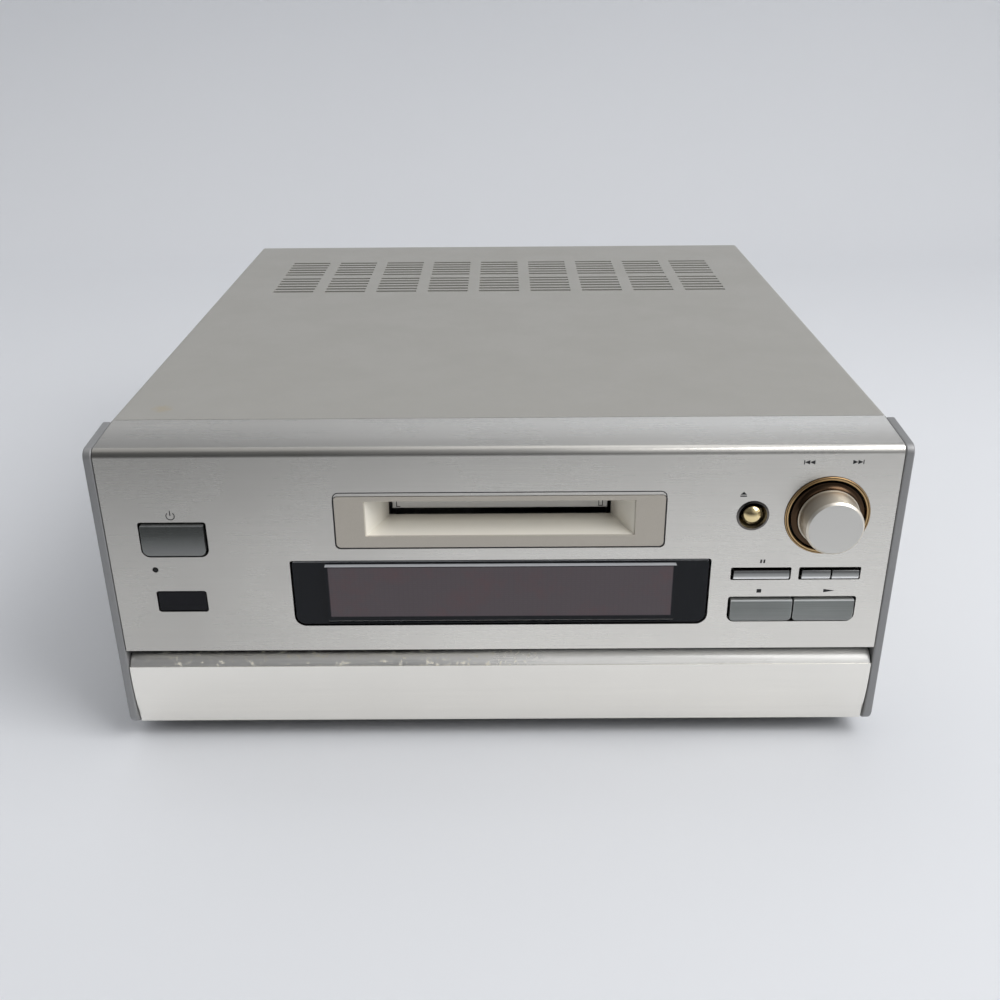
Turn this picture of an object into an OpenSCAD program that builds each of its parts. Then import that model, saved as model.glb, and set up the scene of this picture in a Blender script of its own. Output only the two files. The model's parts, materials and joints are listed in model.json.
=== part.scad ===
/* [Body] */
// Overall width over the side cheeks
body_w = 275; // [272:1:290]
// Depth from the front face to the rear edge of the cover
body_d = 295; // [290:1:330]
// Height of the cabinet above its feet
body_h = 112.5; // [111:0.5:122]
// Height of the feet
foot_h = 7.5; // [5:0.5:12]
// Thickness of each side cheek
cheek_t = 3; // [2.4:0.1:3.4]
// How far the cheeks stand proud of the cover
cheek_proud = 2; // [1.4:0.1:2.4]
// Sheet metal thickness of the cover, chassis and rear panel
sheet_t = 1; // [0.8:0.1:1.2]
// Visible seam between neighbouring outer pieces
seam = 0.3; // [0.1:0.05:0.5]

/* [Front panel] */
// Thickness of the aluminium front panel
panel_t = 3; // [2.5:0.1:3.5]
// Height of the front panel's flat face and top edge
panel_h = 79.5; // [77:0.5:80]
// Depth of the panel's top strip and of the cheeks
strip_d = 24; // [22:0.5:28]
// Fall of the top strip from its rear edge to the front
strip_fall = 1.6; // [1:0.1:2.5]
// Thickness of the top strip
strip_t = 2; // [1.5:0.1:2.5]
// Rounding of the panel's top front edge
edge_r = 3; // [2:0.1:4]
// Thickness of the moulded frame behind the panel
frame_t = 3; // [2.5:0.1:3.2]
// Clearance round the windows and small parts that sit in the panel
fit_gap = 0.35; // [0.25:0.05:0.5]

/* [Disc slot] */
// Offset of the disc slot from the middle
slot_x = 0.4; // [-5:0.1:5]
// Drop of the slot bezel's middle below the cover's top
slot_drop = 28.6; // [27:0.1:30]
// Width of the slot bezel
bezel_w = 113; // [108:0.5:118]
// Height of the slot bezel
bezel_h = 20; // [19:0.1:21]
// Depth of the funnel from the panel's face
funnel_d = 12; // [11:0.1:12.5]
// Width of the funnel's mouth at the front
mouth_w = 92; // [86:0.5:96]
// Width of the funnel's inner end
throat_w = 77.4; // [76:0.1:80]
// Drop of the slot's floor below the cover's top
floor_drop = 31.2; // [30.5:0.1:31.6]
// Thickness of the shutter
shutter_t = 1.2; // [1:0.1:1.5]
// Height of the black gap left under the shutter
shutter_gap = 1.8; // [1.2:0.1:2.4]
// How far the shutter swings in
shutter_swing = 75; // [60:1:80]

/* [Display] */
// Offset of the display window from the middle
window_x = 0.5; // [-5:0.1:5]
// Drop of the display window's middle
window_drop = 56.2; // [55.5:0.1:57]
// Clearance round the display window in its opening
window_play = 0.7; // [0.4:0.05:0.9]
// Gap between the display window and the buttons beside it
window_gap = 6.9; // [5.5:0.1:9]
// Height of the display window
window_h = 26.2; // [24:0.1:26.6]
// Flat part of the window at each side of its raised block
lens_margin = 12.2; // [9:0.1:16]
// How far the raised block stands out
lens_out = 1.8; // [1:0.1:2.5]

/* [Left controls] */
// Distance of the power button and infrared window from the left cheek
left_margin = 23.25; // [20:0.25:26]
// Width of the power button's opening
power_w = 23.3; // [20:0.1:26]
// Height of the power button's opening
power_h = 13.4; // [12:0.1:14.5]
// Drop of the power button's middle
power_drop = 34.7; // [33:0.1:36]
// Width of the infrared window
ir_w = 17.6; // [15:0.1:20]
// Height of the infrared window
ir_h = 8.4; // [7:0.1:9]
// Drop of the infrared window's middle
ir_drop = 59; // [57:0.1:61]
// Distance of the standby lamp from the left cheek
led_margin = 15.4; // [13:0.1:19]
// Drop of the standby lamp
led_drop = 46.3; // [45:0.1:48]
// Radius of the standby lamp
led_r = 0.95; // [0.8:0.05:1.5]

/* [Right controls] */
// Distance of the jog knob from the right cheek
jog_margin = 23.3; // [22:0.1:25]
// Drop of the jog knob's middle
jog_drop = 26.8; // [25:0.1:27.5]
// Outer radius of the gold ring round the jog knob
ring_r = 14.45; // [14:0.05:15]
// Width of the gold ring's face
ring_t = 1.5; // [1.3:0.05:1.6]
// Radius of the jog knob's flared foot
jog_foot_r = 12.3; // [11.5:0.1:12.5]
// Radius of the jog knob at its face
jog_r = 9.6; // [9:0.1:10]
// How much wider the jog knob is at the collar over its foot
jog_taper = 0.55; // [0.2:0.05:0.8]
// How far the jog knob stands out
jog_out = 10.6; // [9:0.1:13]
// Distance of the eject button from the right cheek
eject_margin = 48.45; // [47:0.05:50]
// Drop of the eject button
eject_drop = 26.7; // [25:0.1:28]
// Radius of the eject button's bezel
eject_bezel_r = 5.5; // [5:0.1:6]
// Radius of the domed eject button
eject_r = 3.3; // [3:0.1:3.6]
// Drop of the narrow row: pause, display and play mode
narrow_drop = 49.15; // [48:0.05:50]
// Height of the narrow buttons' openings
narrow_h = 4.9; // [4.4:0.1:5.5]
// Drop of the wide row: stop and play
wide_drop = 63.4; // [62:0.1:65]
// Height of the wide buttons' opening
wide_h = 10.2; // [9:0.1:11]
// Distance of the narrow row's openings from the right cheek
mode_margin = 9.1; // [8:0.1:10]
// Width of the play mode button's share of its opening
mode_w = 10.4; // [9.5:0.1:11]
// Width of the display button's share of that opening
display_w = 11; // [10:0.1:11.5]
// Width of the bar between that opening and the pause opening
pause_gap = 2.7; // [2.4:0.1:3.5]
// Width of the pause opening
pause_w = 20.9; // [18:0.1:21]
// Distance of the wide row's opening from the right cheek
play_margin = 9.3; // [8:0.1:10]
// Width of the play button's share of its opening
play_w = 22.2; // [20:0.1:22.5]
// Width of the stop button's share of that opening
stop_w = 22.7; // [20:0.1:23]
// Clearance round the push buttons in their openings
cap_gap = 0.85; // [0.6:0.05:1]
// Half of the gap between two buttons that share an opening
split_gap = 0.3; // [0.2:0.05:0.4]
// Radius of the crowned face of the narrow buttons
narrow_crown_r = 4.2; // [4:0.1:8]
// Radius of the crowned face of the wide buttons and the power button
wide_crown_r = 34; // [20:1:60]
// Travel of the push buttons
press = 0.8; // [0.5:0.1:1]
// How far the push buttons stand out
cap_out = 1.1; // [0.6:0.1:1.4]

/* [Drop door] */
// Height of the gap that lets a fingertip onto the door's ledge
door_gap = 7; // [6.5:0.1:7.5]
// How far the door stops above the chassis' underside
door_clear = 0.3; // [0.2:0.1:0.8]
// Wall thickness of the door
door_t = 2; // [1.8:0.1:2.2]
// Depth of the ledge along the door's top
ledge_d = 6.8; // [5:0.1:7]
// Thickness of the ledge
ledge_t = 1.5; // [1.2:0.1:2]
// Radius of the curve in the lower half of the door
door_curve_r = 88; // [80:1:120]
// Depth of the hinge line behind the front face
hinge_y = 7; // [6.8:0.1:7.4]
// Height of the hinge line above the chassis' underside
hinge_rise = 3.2; // [3:0.1:3.5]
// Radius of the hinge pins
hinge_r = 1.2; // [1:0.05:1.3]
// Opening angle of the door
door_swing = 90; // [60:1:90]

/* [Behind the door] */
// Depth of the control panel behind the front face
control_y = 13.5; // [13.4:0.1:14.5]
// Thickness of the control panel
control_t = 2; // [1.5:0.1:2.2]
// How far the row of controls lies below the control panel's middle
control_low = 1; // [0:0.1:2]
// Distance of the phones jack from the left cheek
phones_margin = 17.5; // [15:0.5:20]
// Bore radius of the phones jack
phones_r = 3.2; // [3.15:0.01:3.25]
// Depth of the phones jack's bore
phones_len = 30; // [20:1:36]
// Radius of the two level knobs
level_r = 6.5; // [5:0.1:7]
// How far the level knobs stand out
level_out = 7; // [5:0.1:8]
// Grooves round each level knob's grip
level_grooves = 24; // [12:1:30]
// Distance between the phones jack and its level knob
phones_pitch = 24; // [22:0.5:26]
// Distance of the record level knob from the right cheek
record_margin = 34.5; // [30:0.5:38]
// Offset of the row of small buttons from the middle
small_mid = -2; // [-4:0.5:6]
// Distance between the small buttons
small_pitch = 24; // [20:0.5:26]
// Width of the small buttons
small_w = 13; // [10:0.5:16]
// Height of the small buttons
small_h = 5.5; // [4.5:0.1:7]
// Distance between the phones level knob and the timer switch
timer_pitch = 27; // [25:0.5:28]
// Travel of the timer switch to each side
timer_travel = 4; // [3:0.5:5]

/* [Rear panel] */
// Length of the line jacks' metal shells behind the rear panel
jack_len = 9; // [8:0.1:10]
// Radius of the line jacks' metal shells
jack_r = 4.15; // [4.1:0.01:4.2]
// Spacing of the line jacks
jack_pitch = 15; // [14:0.1:19]
// Distance of the line jack block from the cover's side
line_margin = 39.5; // [32:0.5:44]
// Distance between the line jacks and the first optical jack
optical_gap = 30; // [28:0.5:34]
// Distance between the two optical jacks
optical_pitch = 16; // [14:0.5:18]
// Distance between the optical jacks and the first remote jack
remote_gap = 20; // [16:0.5:24]
// Distance between the two remote jacks
remote_pitch = 14; // [12:0.5:16]
// Bore radius of the remote jacks
remote_r = 1.8; // [1.76:0.01:1.85]
// Distance of the mains inlet from the cover's side
inlet_margin = 39.5; // [26:0.5:45]
// Height of the mains inlet above the table
inlet_z = 52; // [45:0.5:80]

/* [Vents and screws] */
// Number of vent groups across the cover
vent_cols = 9; // [3:1:9]
// Number of vent rows
vent_rows = 2; // [1:1:2]
// Number of slots in each vent group
vent_slots = 6; // [3:1:6]
// Distance between vent groups
vent_pitch_x = 25.25; // [24:0.25:26]
// Width of a vent slot
vent_w = 19.6; // [16:0.2:21]
// Height of a vent slot
vent_slot_h = 2.4; // [1.5:0.1:3]
// Distance between vent slots
vent_slot_pitch = 5.1; // [4.6:0.1:5.4]
// Depth of the first vent slot behind the front face
vent_y = 197.5; // [185:0.5:205]
// Distance between the first slots of the two rows
vent_pitch_y = 34; // [33:0.5:36]
// Shank radius of the cover screws
screw_r = 1.5; // [1.2:0.1:1.7]
// Head radius of the cover screws
screw_head_r = 3; // [2.8:0.1:3.4]

/* [Disc mechanism] */
// Depth of the spindle behind the front face
spindle_y = 62; // [61:0.5:64]
// Width of a disc cartridge
cartridge_w = 72; // [71.8:0.1:72.2]
// Thickness of a disc cartridge
cartridge_h = 5; // [4.9:0.1:5.1]
// Drop of the cartridge holder when it loads a disc
load_drop = 4; // [3.5:0.1:4]
// Travel of the loading slider
load_travel = 10; // [9:0.5:10]
// Travel of the pickup sled
sled_travel = 16; // [12:1:16]
// Distance of the lens from the spindle at rest
lens_x = 14.5; // [14:0.1:15]
// Gear module of the loading gears
load_module = 0.8; // [0.8:0.05:0.8]
// Gear module of the sled drive
sled_module = 0.5; // [0.5:0.05:0.5]
// Teeth of the two gears that drive the racks
gear_teeth = 20; // [20:1:20]
// Teeth of the loading motor's pinion
pinion_teeth = 10; // [10:1:10]
// Angle by which the magnetic head arm drops
head_swing = 6; // [3:0.5:6]

/* [Hidden] */
$fn = 64;

// Heights run up from the table; a drop runs down from the cover's top
top_z = foot_h + body_h;
jack_out = jack_len - sheet_t;
front_y = jog_out - (jog_out + body_d + jack_out) / 2;
panel_half = body_w / 2 - cheek_t - seam;
inner_half = body_w / 2 - cheek_t;
cover_half = body_w / 2 - cheek_proud;
cover_in = cover_half - sheet_t;
cover_y = strip_d + seam;
rear_y = body_d - sheet_t;
strip_slope = strip_fall / strip_d;
strip_angle = atan(strip_slope);
edge_z = top_z - (strip_d - edge_r) * strip_slope - edge_r / cos(strip_angle);
panel_bottom = top_z - panel_h;
frame_back = panel_t + frame_t;
frame_wall = 2.5;
ledge_half = cover_in - 4;
shelf_t = 2;
shelf_z = panel_bottom;
sill_t = 2;
control_drop = top_z - (foot_h + sill_t + shelf_z - shelf_t) / 2 + control_low;
chassis_top = foot_h + sheet_t;
flange_h = 30;
front_flange_h = 8;
door_top = panel_bottom - door_gap;
door_bottom = foot_h + door_clear;
door_h = door_top - door_bottom;
curve_start = door_top - 3.5;
hinge_z = foot_h + hinge_rise;
bore_play = 0.05;

// Places across the front, from the middle
left_x = inner_half - left_margin;
led_x = inner_half - led_margin;
jog_x = inner_half - jog_margin;
eject_x = inner_half - eject_margin;
mode_right = inner_half - mode_margin;
mode_span = [mode_right - mode_w - display_w, mode_right - mode_w, mode_right];
pause_span = [mode_span[0] - pause_gap - pause_w, mode_span[0] - pause_gap];
play_right = inner_half - play_margin;
play_span = [play_right - play_w - stop_w, play_right - play_w, play_right];
window_w = 2 * (play_span[0] - window_gap - window_x);
lens_w = window_w - 2 * lens_margin;
phones_x = inner_half - phones_margin;
phones_level_x = phones_x - phones_pitch;
timer_x = phones_level_x - timer_pitch;
record_level_x = inner_half - record_margin;
small_x = [for (k = [-1.5:1.5]) small_mid + k * small_pitch];

// Places across the rear, from the middle
line_x = cover_half - line_margin;
optical_x = [line_x - optical_gap, line_x - optical_gap - optical_pitch];
remote_x = [optical_x[1] - remote_gap, optical_x[1] - remote_gap - remote_pitch];
inlet_x = cover_half - inlet_margin;

// Tact switches and boards behind the panel
board_y = 18;
board_t = 1.6;
switch_body = 3.5;
switch_plunger = 0.8;
press_play = 0.1;
stem_r = 1.6;
cap_back = frame_back + 0.3;
cap_flange_t = 1.2;
cap_rim = 1;
stem_end = board_y - switch_body - switch_plunger - press - press_play;
control_board_y = control_y + 8.4;

// Mechanism heights
slide_z = top_z - floor_drop;
holder_t = 0.8;
holder_half = cartridge_w / 2 + 0.4;
holder_inner = cartridge_h + 0.6;
holder_front = 27;
holder_back = 96;
pin_r = 1.2;
pin_y = [spindle_y - 20, spindle_y + 20];
pin_z = slide_z + holder_inner / 2;
pin_end = 43;
slot_play = 0.15;
wall_in = holder_half + holder_t + 1.8;
wall_t = 1.2;
wall_out = wall_in + wall_t;
wall_front = 30;
wall_back = 86;
wall_h = 7.2;
slider_in = wall_out + 0.3;
slider_t = 1.2;
slider_out = slider_in + slider_t;
slider_front = 28;
slider_back = 92;
base_z = slide_z - 15.8;
base_t = 1.2;
base_top = base_z + base_t;
base_right = 66;
base_front = 26;
base_back = 112;
load_r = load_module * gear_teeth / 2;
pinion_r = load_module * pinion_teeth / 2;
rack_z = slide_z - 5.3;
gear_play = 0.12;
sled_r = sled_module * gear_teeth / 2;
damper_h = 7;
bracket_top = base_z - damper_h;
bracket_left = -52;
bracket_right = 68;
bracket_rim = 30;
damper_spots = [[-34, 32], [58, 32], [-34, 106], [58, 106]];
rail_y = [spindle_y - 12, spindle_y + 12];
rail_z = base_top + 4.8;
rail_r = 1.5;
sled_half = 16;
sled_left = lens_x - 5;
sled_right = sled_left + 27.5;
sled_low = base_top + 2.3;
sled_high = base_top + 8.1;
sled_gear_x = 30;
sled_rack_y = spindle_y + sled_half + 1.2 * sled_module;
sled_gear_y = sled_rack_y + sled_r;
post_x = 45.5;
post_t = 3;
post_half = 5;
lug_t = 2;
arm_x = post_x + post_t / 2;
arm_pin_r = 0.8;
arm_hub_r = 1.2;
arm_half = 2.5;
arm_t = 0.8;
head_half = 2;
head_h = 5;
arm_rise = 13.7;
arm_z = slide_z + arm_rise;

// Puts the front face at its place in the frame of the whole deck
module deck() translate([0, front_y, 0]) children();

// Places children on the front face, x from the middle and a drop below the cover's top
module on_face(x, drop) translate([x, 0, top_z - drop]) children();

// Stands a flat outline up, seen from the front, and fills it from y0 back to y1
module upright(y0, y1) translate([0, y1, 0]) rotate([90, 0, 0]) linear_extrude(y1 - y0) children();

// Fills an outline drawn as (depth, height) from x0 across to x1
module across(x0, x1) translate([x0, 0, 0]) rotate([90, 0, 90]) linear_extrude(x1 - x0) children();

// A round bar along the depth
module bar_y(r, y0, y1) translate([0, y1, 0]) rotate([90, 0, 0]) cylinder(r = r, h = y1 - y0);

// A round bar along the width
module bar_x(r, x0, x1) translate([x0, 0, 0]) rotate([0, 90, 0]) cylinder(r = r, h = x1 - x0);

// A box given by its two corners
module box(low, high) translate(low) cube(high - low);

// A rectangle about the origin with one radius for its top and one for its bottom corners
module rounded(w, h, r_top, r_bottom) {
    union() {
        translate([-w / 2 + r_top, 0]) square([w - 2 * r_top, h / 2]);
        translate([-w / 2 + r_bottom, -h / 2]) square([w - 2 * r_bottom, h / 2]);
        translate([-w / 2, -h / 2 + r_bottom]) square([w, h - r_top - r_bottom]);
        for (side = [-1, 1]) {
            translate([side * (w / 2 - r_top), h / 2 - r_top]) circle(r_top);
            translate([side * (w / 2 - r_bottom), -h / 2 + r_bottom]) circle(r_bottom);
        }
    }
}

// A straight slot with round ends between two points
module slot_between(a, b, r) {
    d = b - a;
    n = norm(d);
    u = [-d[1], d[0]] * r / n;
    union() {
        polygon([a + u, a - u, b - u, b + u]);
        translate(a) circle(r);
        translate(b) circle(r);
    }
}

// Height of the top strip's surface at a depth behind the front face
function strip_z(y) = top_z - (strip_d - y) * strip_slope;

// Side outline of the front: sloping top strip, rounded edge and flat face down to a height
module front_side(bottom, r) {
    cz = top_z - (strip_d - r) * strip_slope - r / cos(strip_angle);
    union() {
        polygon([[strip_d, top_z], [r - r * sin(strip_angle), cz + r * cos(strip_angle)], [r, cz],
            [0, cz], [0, bottom], [strip_d, bottom]]);
        translate([r, cz]) circle(r);
    }
}

// Involute gear outline and the straight rack that it runs on
function involute(a) = tan(a) * 180 / PI - a;
function flank(r, base, half) = half + involute(20) - involute(acos(min(1, base / r)));
function gear_points(m, teeth) = let(r = m * teeth / 2, base = r * cos(20), low = r - 1.25 * m,
    start = max(base, low), half = 90 / teeth - gear_play / 4 / r * 180 / PI, steps = 2,
    reach = [for (k = [0:steps]) start + (r + m - start) * k / steps])
    [for (i = [0:teeth - 1]) let(c = i * 360 / teeth) each concat(
        [low * [cos(c - flank(start, base, half)), sin(c - flank(start, base, half))]],
        [for (k = [0:steps]) reach[k] * [cos(c - flank(reach[k], base, half)),
            sin(c - flank(reach[k], base, half))]],
        [for (k = [steps:-1:0]) reach[k] * [cos(c + flank(reach[k], base, half)),
            sin(c + flank(reach[k], base, half))]],
        [low * [cos(c + flank(start, base, half)), sin(c + flank(start, base, half))]])];

// Rack teeth pointing down from a pitch line at the origin, with a gap at the origin
module rack_teeth(m, first, last) {
    p = PI * m;
    half = p / 4 - gear_play / 4;
    root = half + 1.25 * m * tan(20);
    tip = half - m * tan(20);
    for (k = [first:last]) translate([(k + 0.5) * p, 0])
        polygon([[-root, 1.5 * m], [-root, 1.25 * m], [-tip, -m], [tip, -m], [root, 1.25 * m],
            [root, 1.5 * m]]);
}

module bottom_chassis() color([0.62, 0.63, 0.62]) deck() {
    difference() {
        union() {
            box([-cover_in, strip_d, foot_h], [cover_in, rear_y, chassis_top]);
            for (side = [-1, 1]) scale_x(side)
                box([cover_in - sheet_t, strip_d, foot_h], [cover_in, rear_y - sheet_t, foot_h + flange_h]);
            box([-cover_in, strip_d, foot_h], [cover_in, strip_d + sheet_t, foot_h + front_flange_h]);
            for (spot = power_spots) translate([spot[0], spot[1], foot_h])
                cylinder(r = 3, h = power_board_z - foot_h);
            for (spot = main_spots) translate([spot[0], spot[1], foot_h])
                cylinder(r = 3, h = main_board_z - foot_h);
        }
        for (row = [0:5], side = [-1, 1])
            translate([side * (cover_in - floor_vent_in), floor_vent_y + row * floor_vent_pitch, foot_h - 1])
                linear_extrude(sheet_t + 2) rounded(floor_vent_w, 4, 1.9, 1.9);
        for (s = side_screws) translate([0, s[0], s[1]])
            bar_x(screw_r + bore_play, -body_w, body_w);
    }
}

// Mirrors children to the left when side is -1
module scale_x(side) mirror([side < 0 ? 1 : 0, 0, 0]) children();

// Vent slots in the chassis floor
floor_vent_in = 42.5;
floor_vent_y = 84;
floor_vent_pitch = 10;
floor_vent_w = 36;

// Transformer and boards on the chassis floor
board_margin = 4.5;
post_in = 5;
transformer_in = 38.5;
transformer_back = 46;
transformer_x = -cover_in + transformer_in;
transformer_y = rear_y - transformer_back;
power_board_z = chassis_top + 6;
power_board_w = 60;
power_board_front = 60;
power_board_behind = 52;
power_board_x = [-cover_in + board_margin, -cover_in + board_margin + power_board_w];
power_board_y = [power_board_front, transformer_y - power_board_behind];
power_spots = [for (x = [power_board_x[0] + post_in, power_board_x[1] - post_in],
    y = [power_board_y[0] + post_in, power_board_y[1] - post_in]) [x, y]];
main_board_rise = 12;
main_board_z = chassis_top + main_board_rise;
main_board_x = [-4, cover_in - board_margin];
main_board_y = [142, rear_y - sheet_t - 0.5];
main_spots = [for (x = [main_board_x[0] + post_in, main_board_x[1] - post_in],
    y = [main_board_y[0] + post_in, main_board_y[1] - 3 * post_in]) [x, y]];

module vent_slots_2d() {
    for (col = [0:vent_cols - 1], row = [0:vent_rows - 1], k = [0:vent_slots - 1])
        translate([(col - (vent_cols - 1) / 2) * vent_pitch_x,
            vent_y + row * vent_pitch_y + k * vent_slot_pitch])
            square([vent_w, vent_slot_h], center = true);
}

// Heights and depths of the cover screws: sides, then the rear lip
side_screws = [[60, foot_h + 16], [body_d - 63, foot_h + 16]];
rear_screw_x = [-cover_in + 24.5, 0, cover_in - 24.5];
lip_h = 12;
rear_screw_z = top_z - sheet_t - 6;

module top_cover() color([0.61, 0.60, 0.58]) deck() difference() {
    union() {
        translate([0, 0, top_z - sheet_t]) linear_extrude(sheet_t) difference() {
            translate([-cover_half + 2, cover_y]) square([2 * cover_half - 4, body_d - cover_y]);
            vent_slots_2d();
        }
        for (side = [-1, 1]) scale_x(side) upright(cover_y, body_d) difference() {
            union() {
                translate([cover_half - 2, top_z - 2]) circle(2);
                translate([cover_half - sheet_t, foot_h]) square([sheet_t, body_h - 2]);
            }
            translate([cover_half - 2, top_z - 2]) circle(2 - sheet_t);
            translate([cover_half - 5, top_z - 5]) square([5 - sheet_t, 3]);
            translate([cover_half - 5, top_z - 5]) square([3, 5 - sheet_t]);
        }
        box([-cover_in + 1.2, rear_y, top_z - sheet_t - lip_h], [cover_in - 1.2, body_d, top_z - sheet_t]);
    }
    for (s = side_screws) translate([0, s[0], s[1]])
        bar_x(screw_r + bore_play, -body_w, body_w);
    for (x = rear_screw_x) translate([x, 0, rear_screw_z])
        bar_y(screw_r + bore_play, rear_y - 1, body_d + 1);
}

module rear_panel() color([0.60, 0.60, 0.58]) deck() difference() {
    box([-cover_in + sheet_t, rear_y - sheet_t, chassis_top], [cover_in - sheet_t, rear_y, top_z - sheet_t]);
    for (c = line_spots) translate([c[0], 0, c[1]]) bar_y(jack_neck_r + 0.1, rear_y - 3, rear_y + 1);
    for (x = optical_x) translate([x, 0, optical_z]) upright(rear_y - 3, rear_y + 1)
        square([9.4, 8.4], center = true);
    for (x = remote_x) translate([x, 0, remote_z]) bar_y(remote_nose_r + 0.1, rear_y - 3, rear_y + 1);
    translate([-inlet_x, 0, inlet_z]) upright(rear_y - 3, rear_y + 1)
        square([inlet_w + 0.2, inlet_h + 0.2], center = true);
    for (x = rear_screw_x) translate([x, 0, rear_screw_z])
        bar_y(screw_r + bore_play, rear_y - 3, rear_y + 1);
}

// Screw with a domed head, its shank along -y and the head's seat at the origin
module screw() {
    bar_y(screw_r, -4, 0);
    rotate([-90, 0, 0]) intersection() {
        cylinder(r = screw_head_r, h = 1.9);
        translate([0, 0, -2.2]) sphere(r = 4.1);
    }
}

module cover_screws() color([0.15, 0.15, 0.15]) deck() {
    for (x = rear_screw_x) translate([x, body_d, rear_screw_z]) screw();
    for (s = side_screws) {
        translate([cover_half, s[0], s[1]]) rotate([0, 0, -90]) screw();
        translate([-cover_half, s[0], s[1]]) rotate([0, 0, 90]) screw();
    }
}

// Openings in the panel, each drawn on the front face
module face_openings(extra) {
    on_face_2d(slot_x, slot_drop) rounded(bezel_w + 2 * extra, bezel_h + 2 * extra, 1.8, 1.8);
    on_face_2d(window_x, window_drop) rounded(window_w + 2 * extra, window_h + 2 * extra, 1, 4);
    on_face_2d(-left_x, power_drop) rounded(power_w + 2 * extra, power_h + 2 * extra, 1, 3);
    on_face_2d(-left_x, ir_drop) rounded(ir_w + 2 * extra, ir_h + 2 * extra, 1, 1);
    on_face_2d(span_mid(pause_span), narrow_drop)
        rounded(span_w(pause_span) + 2 * extra, narrow_h + 2 * extra, 0.5, 0.5);
    on_face_2d(span_mid(mode_span), narrow_drop)
        rounded(span_w(mode_span) + 2 * extra, narrow_h + 2 * extra, 0.5, 0.5);
    on_face_2d(span_mid(play_span), wide_drop)
        rounded(span_w(play_span) + 2 * extra, wide_h + 2 * extra, 1, 2.8);
}

function span_mid(s) = (s[0] + s[len(s) - 1]) / 2;
function span_w(s) = s[len(s) - 1] - s[0];
module on_face_2d(x, drop) translate([x, top_z - drop]) children();

module front_panel() color([0.72, 0.71, 0.68]) deck() difference() {
    across(-panel_half, panel_half) difference() {
        front_side(panel_bottom, edge_r);
        polygon([[panel_t, panel_bottom - 1], [panel_t, strip_z(panel_t) - strip_t],
            [strip_d + 1, strip_z(strip_d + 1) - strip_t], [strip_d + 1, panel_bottom - 1]]);
    }
    upright(-1, panel_t + 0.5) face_openings(0);
    on_face(-led_x, led_drop) bar_y(led_r + 0.1, -1, panel_t + 1);
    on_face(eject_x, eject_drop) bar_y(eject_bezel_r + 0.05, -1, panel_t + 1);
    on_face(jog_x, jog_drop) bar_y(ring_r + 0.05, -1, panel_t + 1);
}

// Side outline of a cheek: the front's outline with rounded corners
module cheek_side() {
    foot_r = 5;
    difference() {
        front_side(foot_h, edge_r + 0.5);
        difference() {
            translate([-1, foot_h - 1]) square([foot_r + 1, foot_r + 1]);
            translate([foot_r, foot_h + foot_r]) circle(foot_r);
        }
        difference() {
            translate([strip_d - 2, top_z - 2]) square([3, 3]);
            translate([strip_d - 2, top_z - 2]) circle(2);
        }
    }
}

module left_cheek() color([0.53, 0.54, 0.54]) deck()
    across(-body_w / 2, -inner_half) cheek_side();

module right_cheek() color([0.53, 0.54, 0.54]) deck()
    across(inner_half, body_w / 2) cheek_side();

module front_frame() color([0.10, 0.10, 0.10]) deck() difference() {
    union() {
        // plate behind the panel
        across(-inner_half, inner_half) polygon([[panel_t, shelf_z], [panel_t, strip_z(panel_t) - strip_t],
            [frame_back, strip_z(frame_back) - strip_t], [frame_back, shelf_z]]);
        // top wall under the strip and the ledge that carries the cover
        across(-inner_half, inner_half) polygon([[panel_t, strip_z(panel_t) - strip_t],
            [strip_d, strip_z(strip_d) - strip_t], [strip_d, top_z - strip_t - 3.5],
            [panel_t, top_z - strip_t - 3.5]]);
        box([-ledge_half, strip_d - 1, top_z - strip_t - 3], [ledge_half, strip_d + 6, top_z - strip_t - 1]);
        box([-ledge_half, cover_y, top_z - strip_t - 1.5], [ledge_half, strip_d + 6, top_z - sheet_t]);
        // shelf over the door's controls and the sill below them
        box([-inner_half, panel_t, shelf_z - shelf_t], [inner_half, control_y + control_t, shelf_z]);
        box([-inner_half, control_y, foot_h], [inner_half, strip_d, foot_h + sill_t]);
        // side walls with the hinge lugs
        for (side = [-1, 1]) scale_x(side) across(inner_half - frame_wall, inner_half) {
            polygon([[panel_t, shelf_z - shelf_t], [panel_t, strip_z(panel_t) - strip_t],
                [strip_d, strip_z(strip_d) - strip_t], [strip_d, foot_h], [control_y, foot_h],
                [control_y, hinge_z - 1.5], [hinge_y, hinge_z - 1.5], [hinge_y, hinge_z + 2.4],
                [hinge_y + 1.5, hinge_z + 6], [hinge_y + 1.5, shelf_z - shelf_t]]);
            translate([hinge_y, hinge_z]) circle(2.4);
        }
        // hinge pins of the door
        for (side = [-1, 1]) scale_x(side) translate([0, hinge_y, hinge_z])
            bar_x(hinge_r, ear_in + 0.3, inner_half - 1);
        // board posts
        for (x = frame_posts, drop = [16, panel_h - 5.5]) on_face(x, drop)
            bar_y(2.5, frame_back - 1, board_y);
    }
    upright(panel_t - 1, frame_back + 1) face_openings(0.3);
    on_face(-led_x, led_drop) bar_y(2.2, panel_t - 1, frame_back + 1);
    on_face(eject_x, eject_drop) bar_y(eject_bezel_r + 0.3, panel_t - 1, frame_back + 1);
    on_face(jog_x, jog_drop) bar_y(5, panel_t - 1, frame_back + 1);
    on_face(jog_x, jog_drop) bar_y(ring_r + 0.3, panel_t - 1, panel_t + 1.6);
}

frame_posts = [-inner_half + 8.5, -bezel_w / 2 - 13.5, eject_x - 11, inner_half - 8.5];
ear_out = inner_half - frame_wall - 0.4;
ear_in = ear_out - 3.2;

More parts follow.
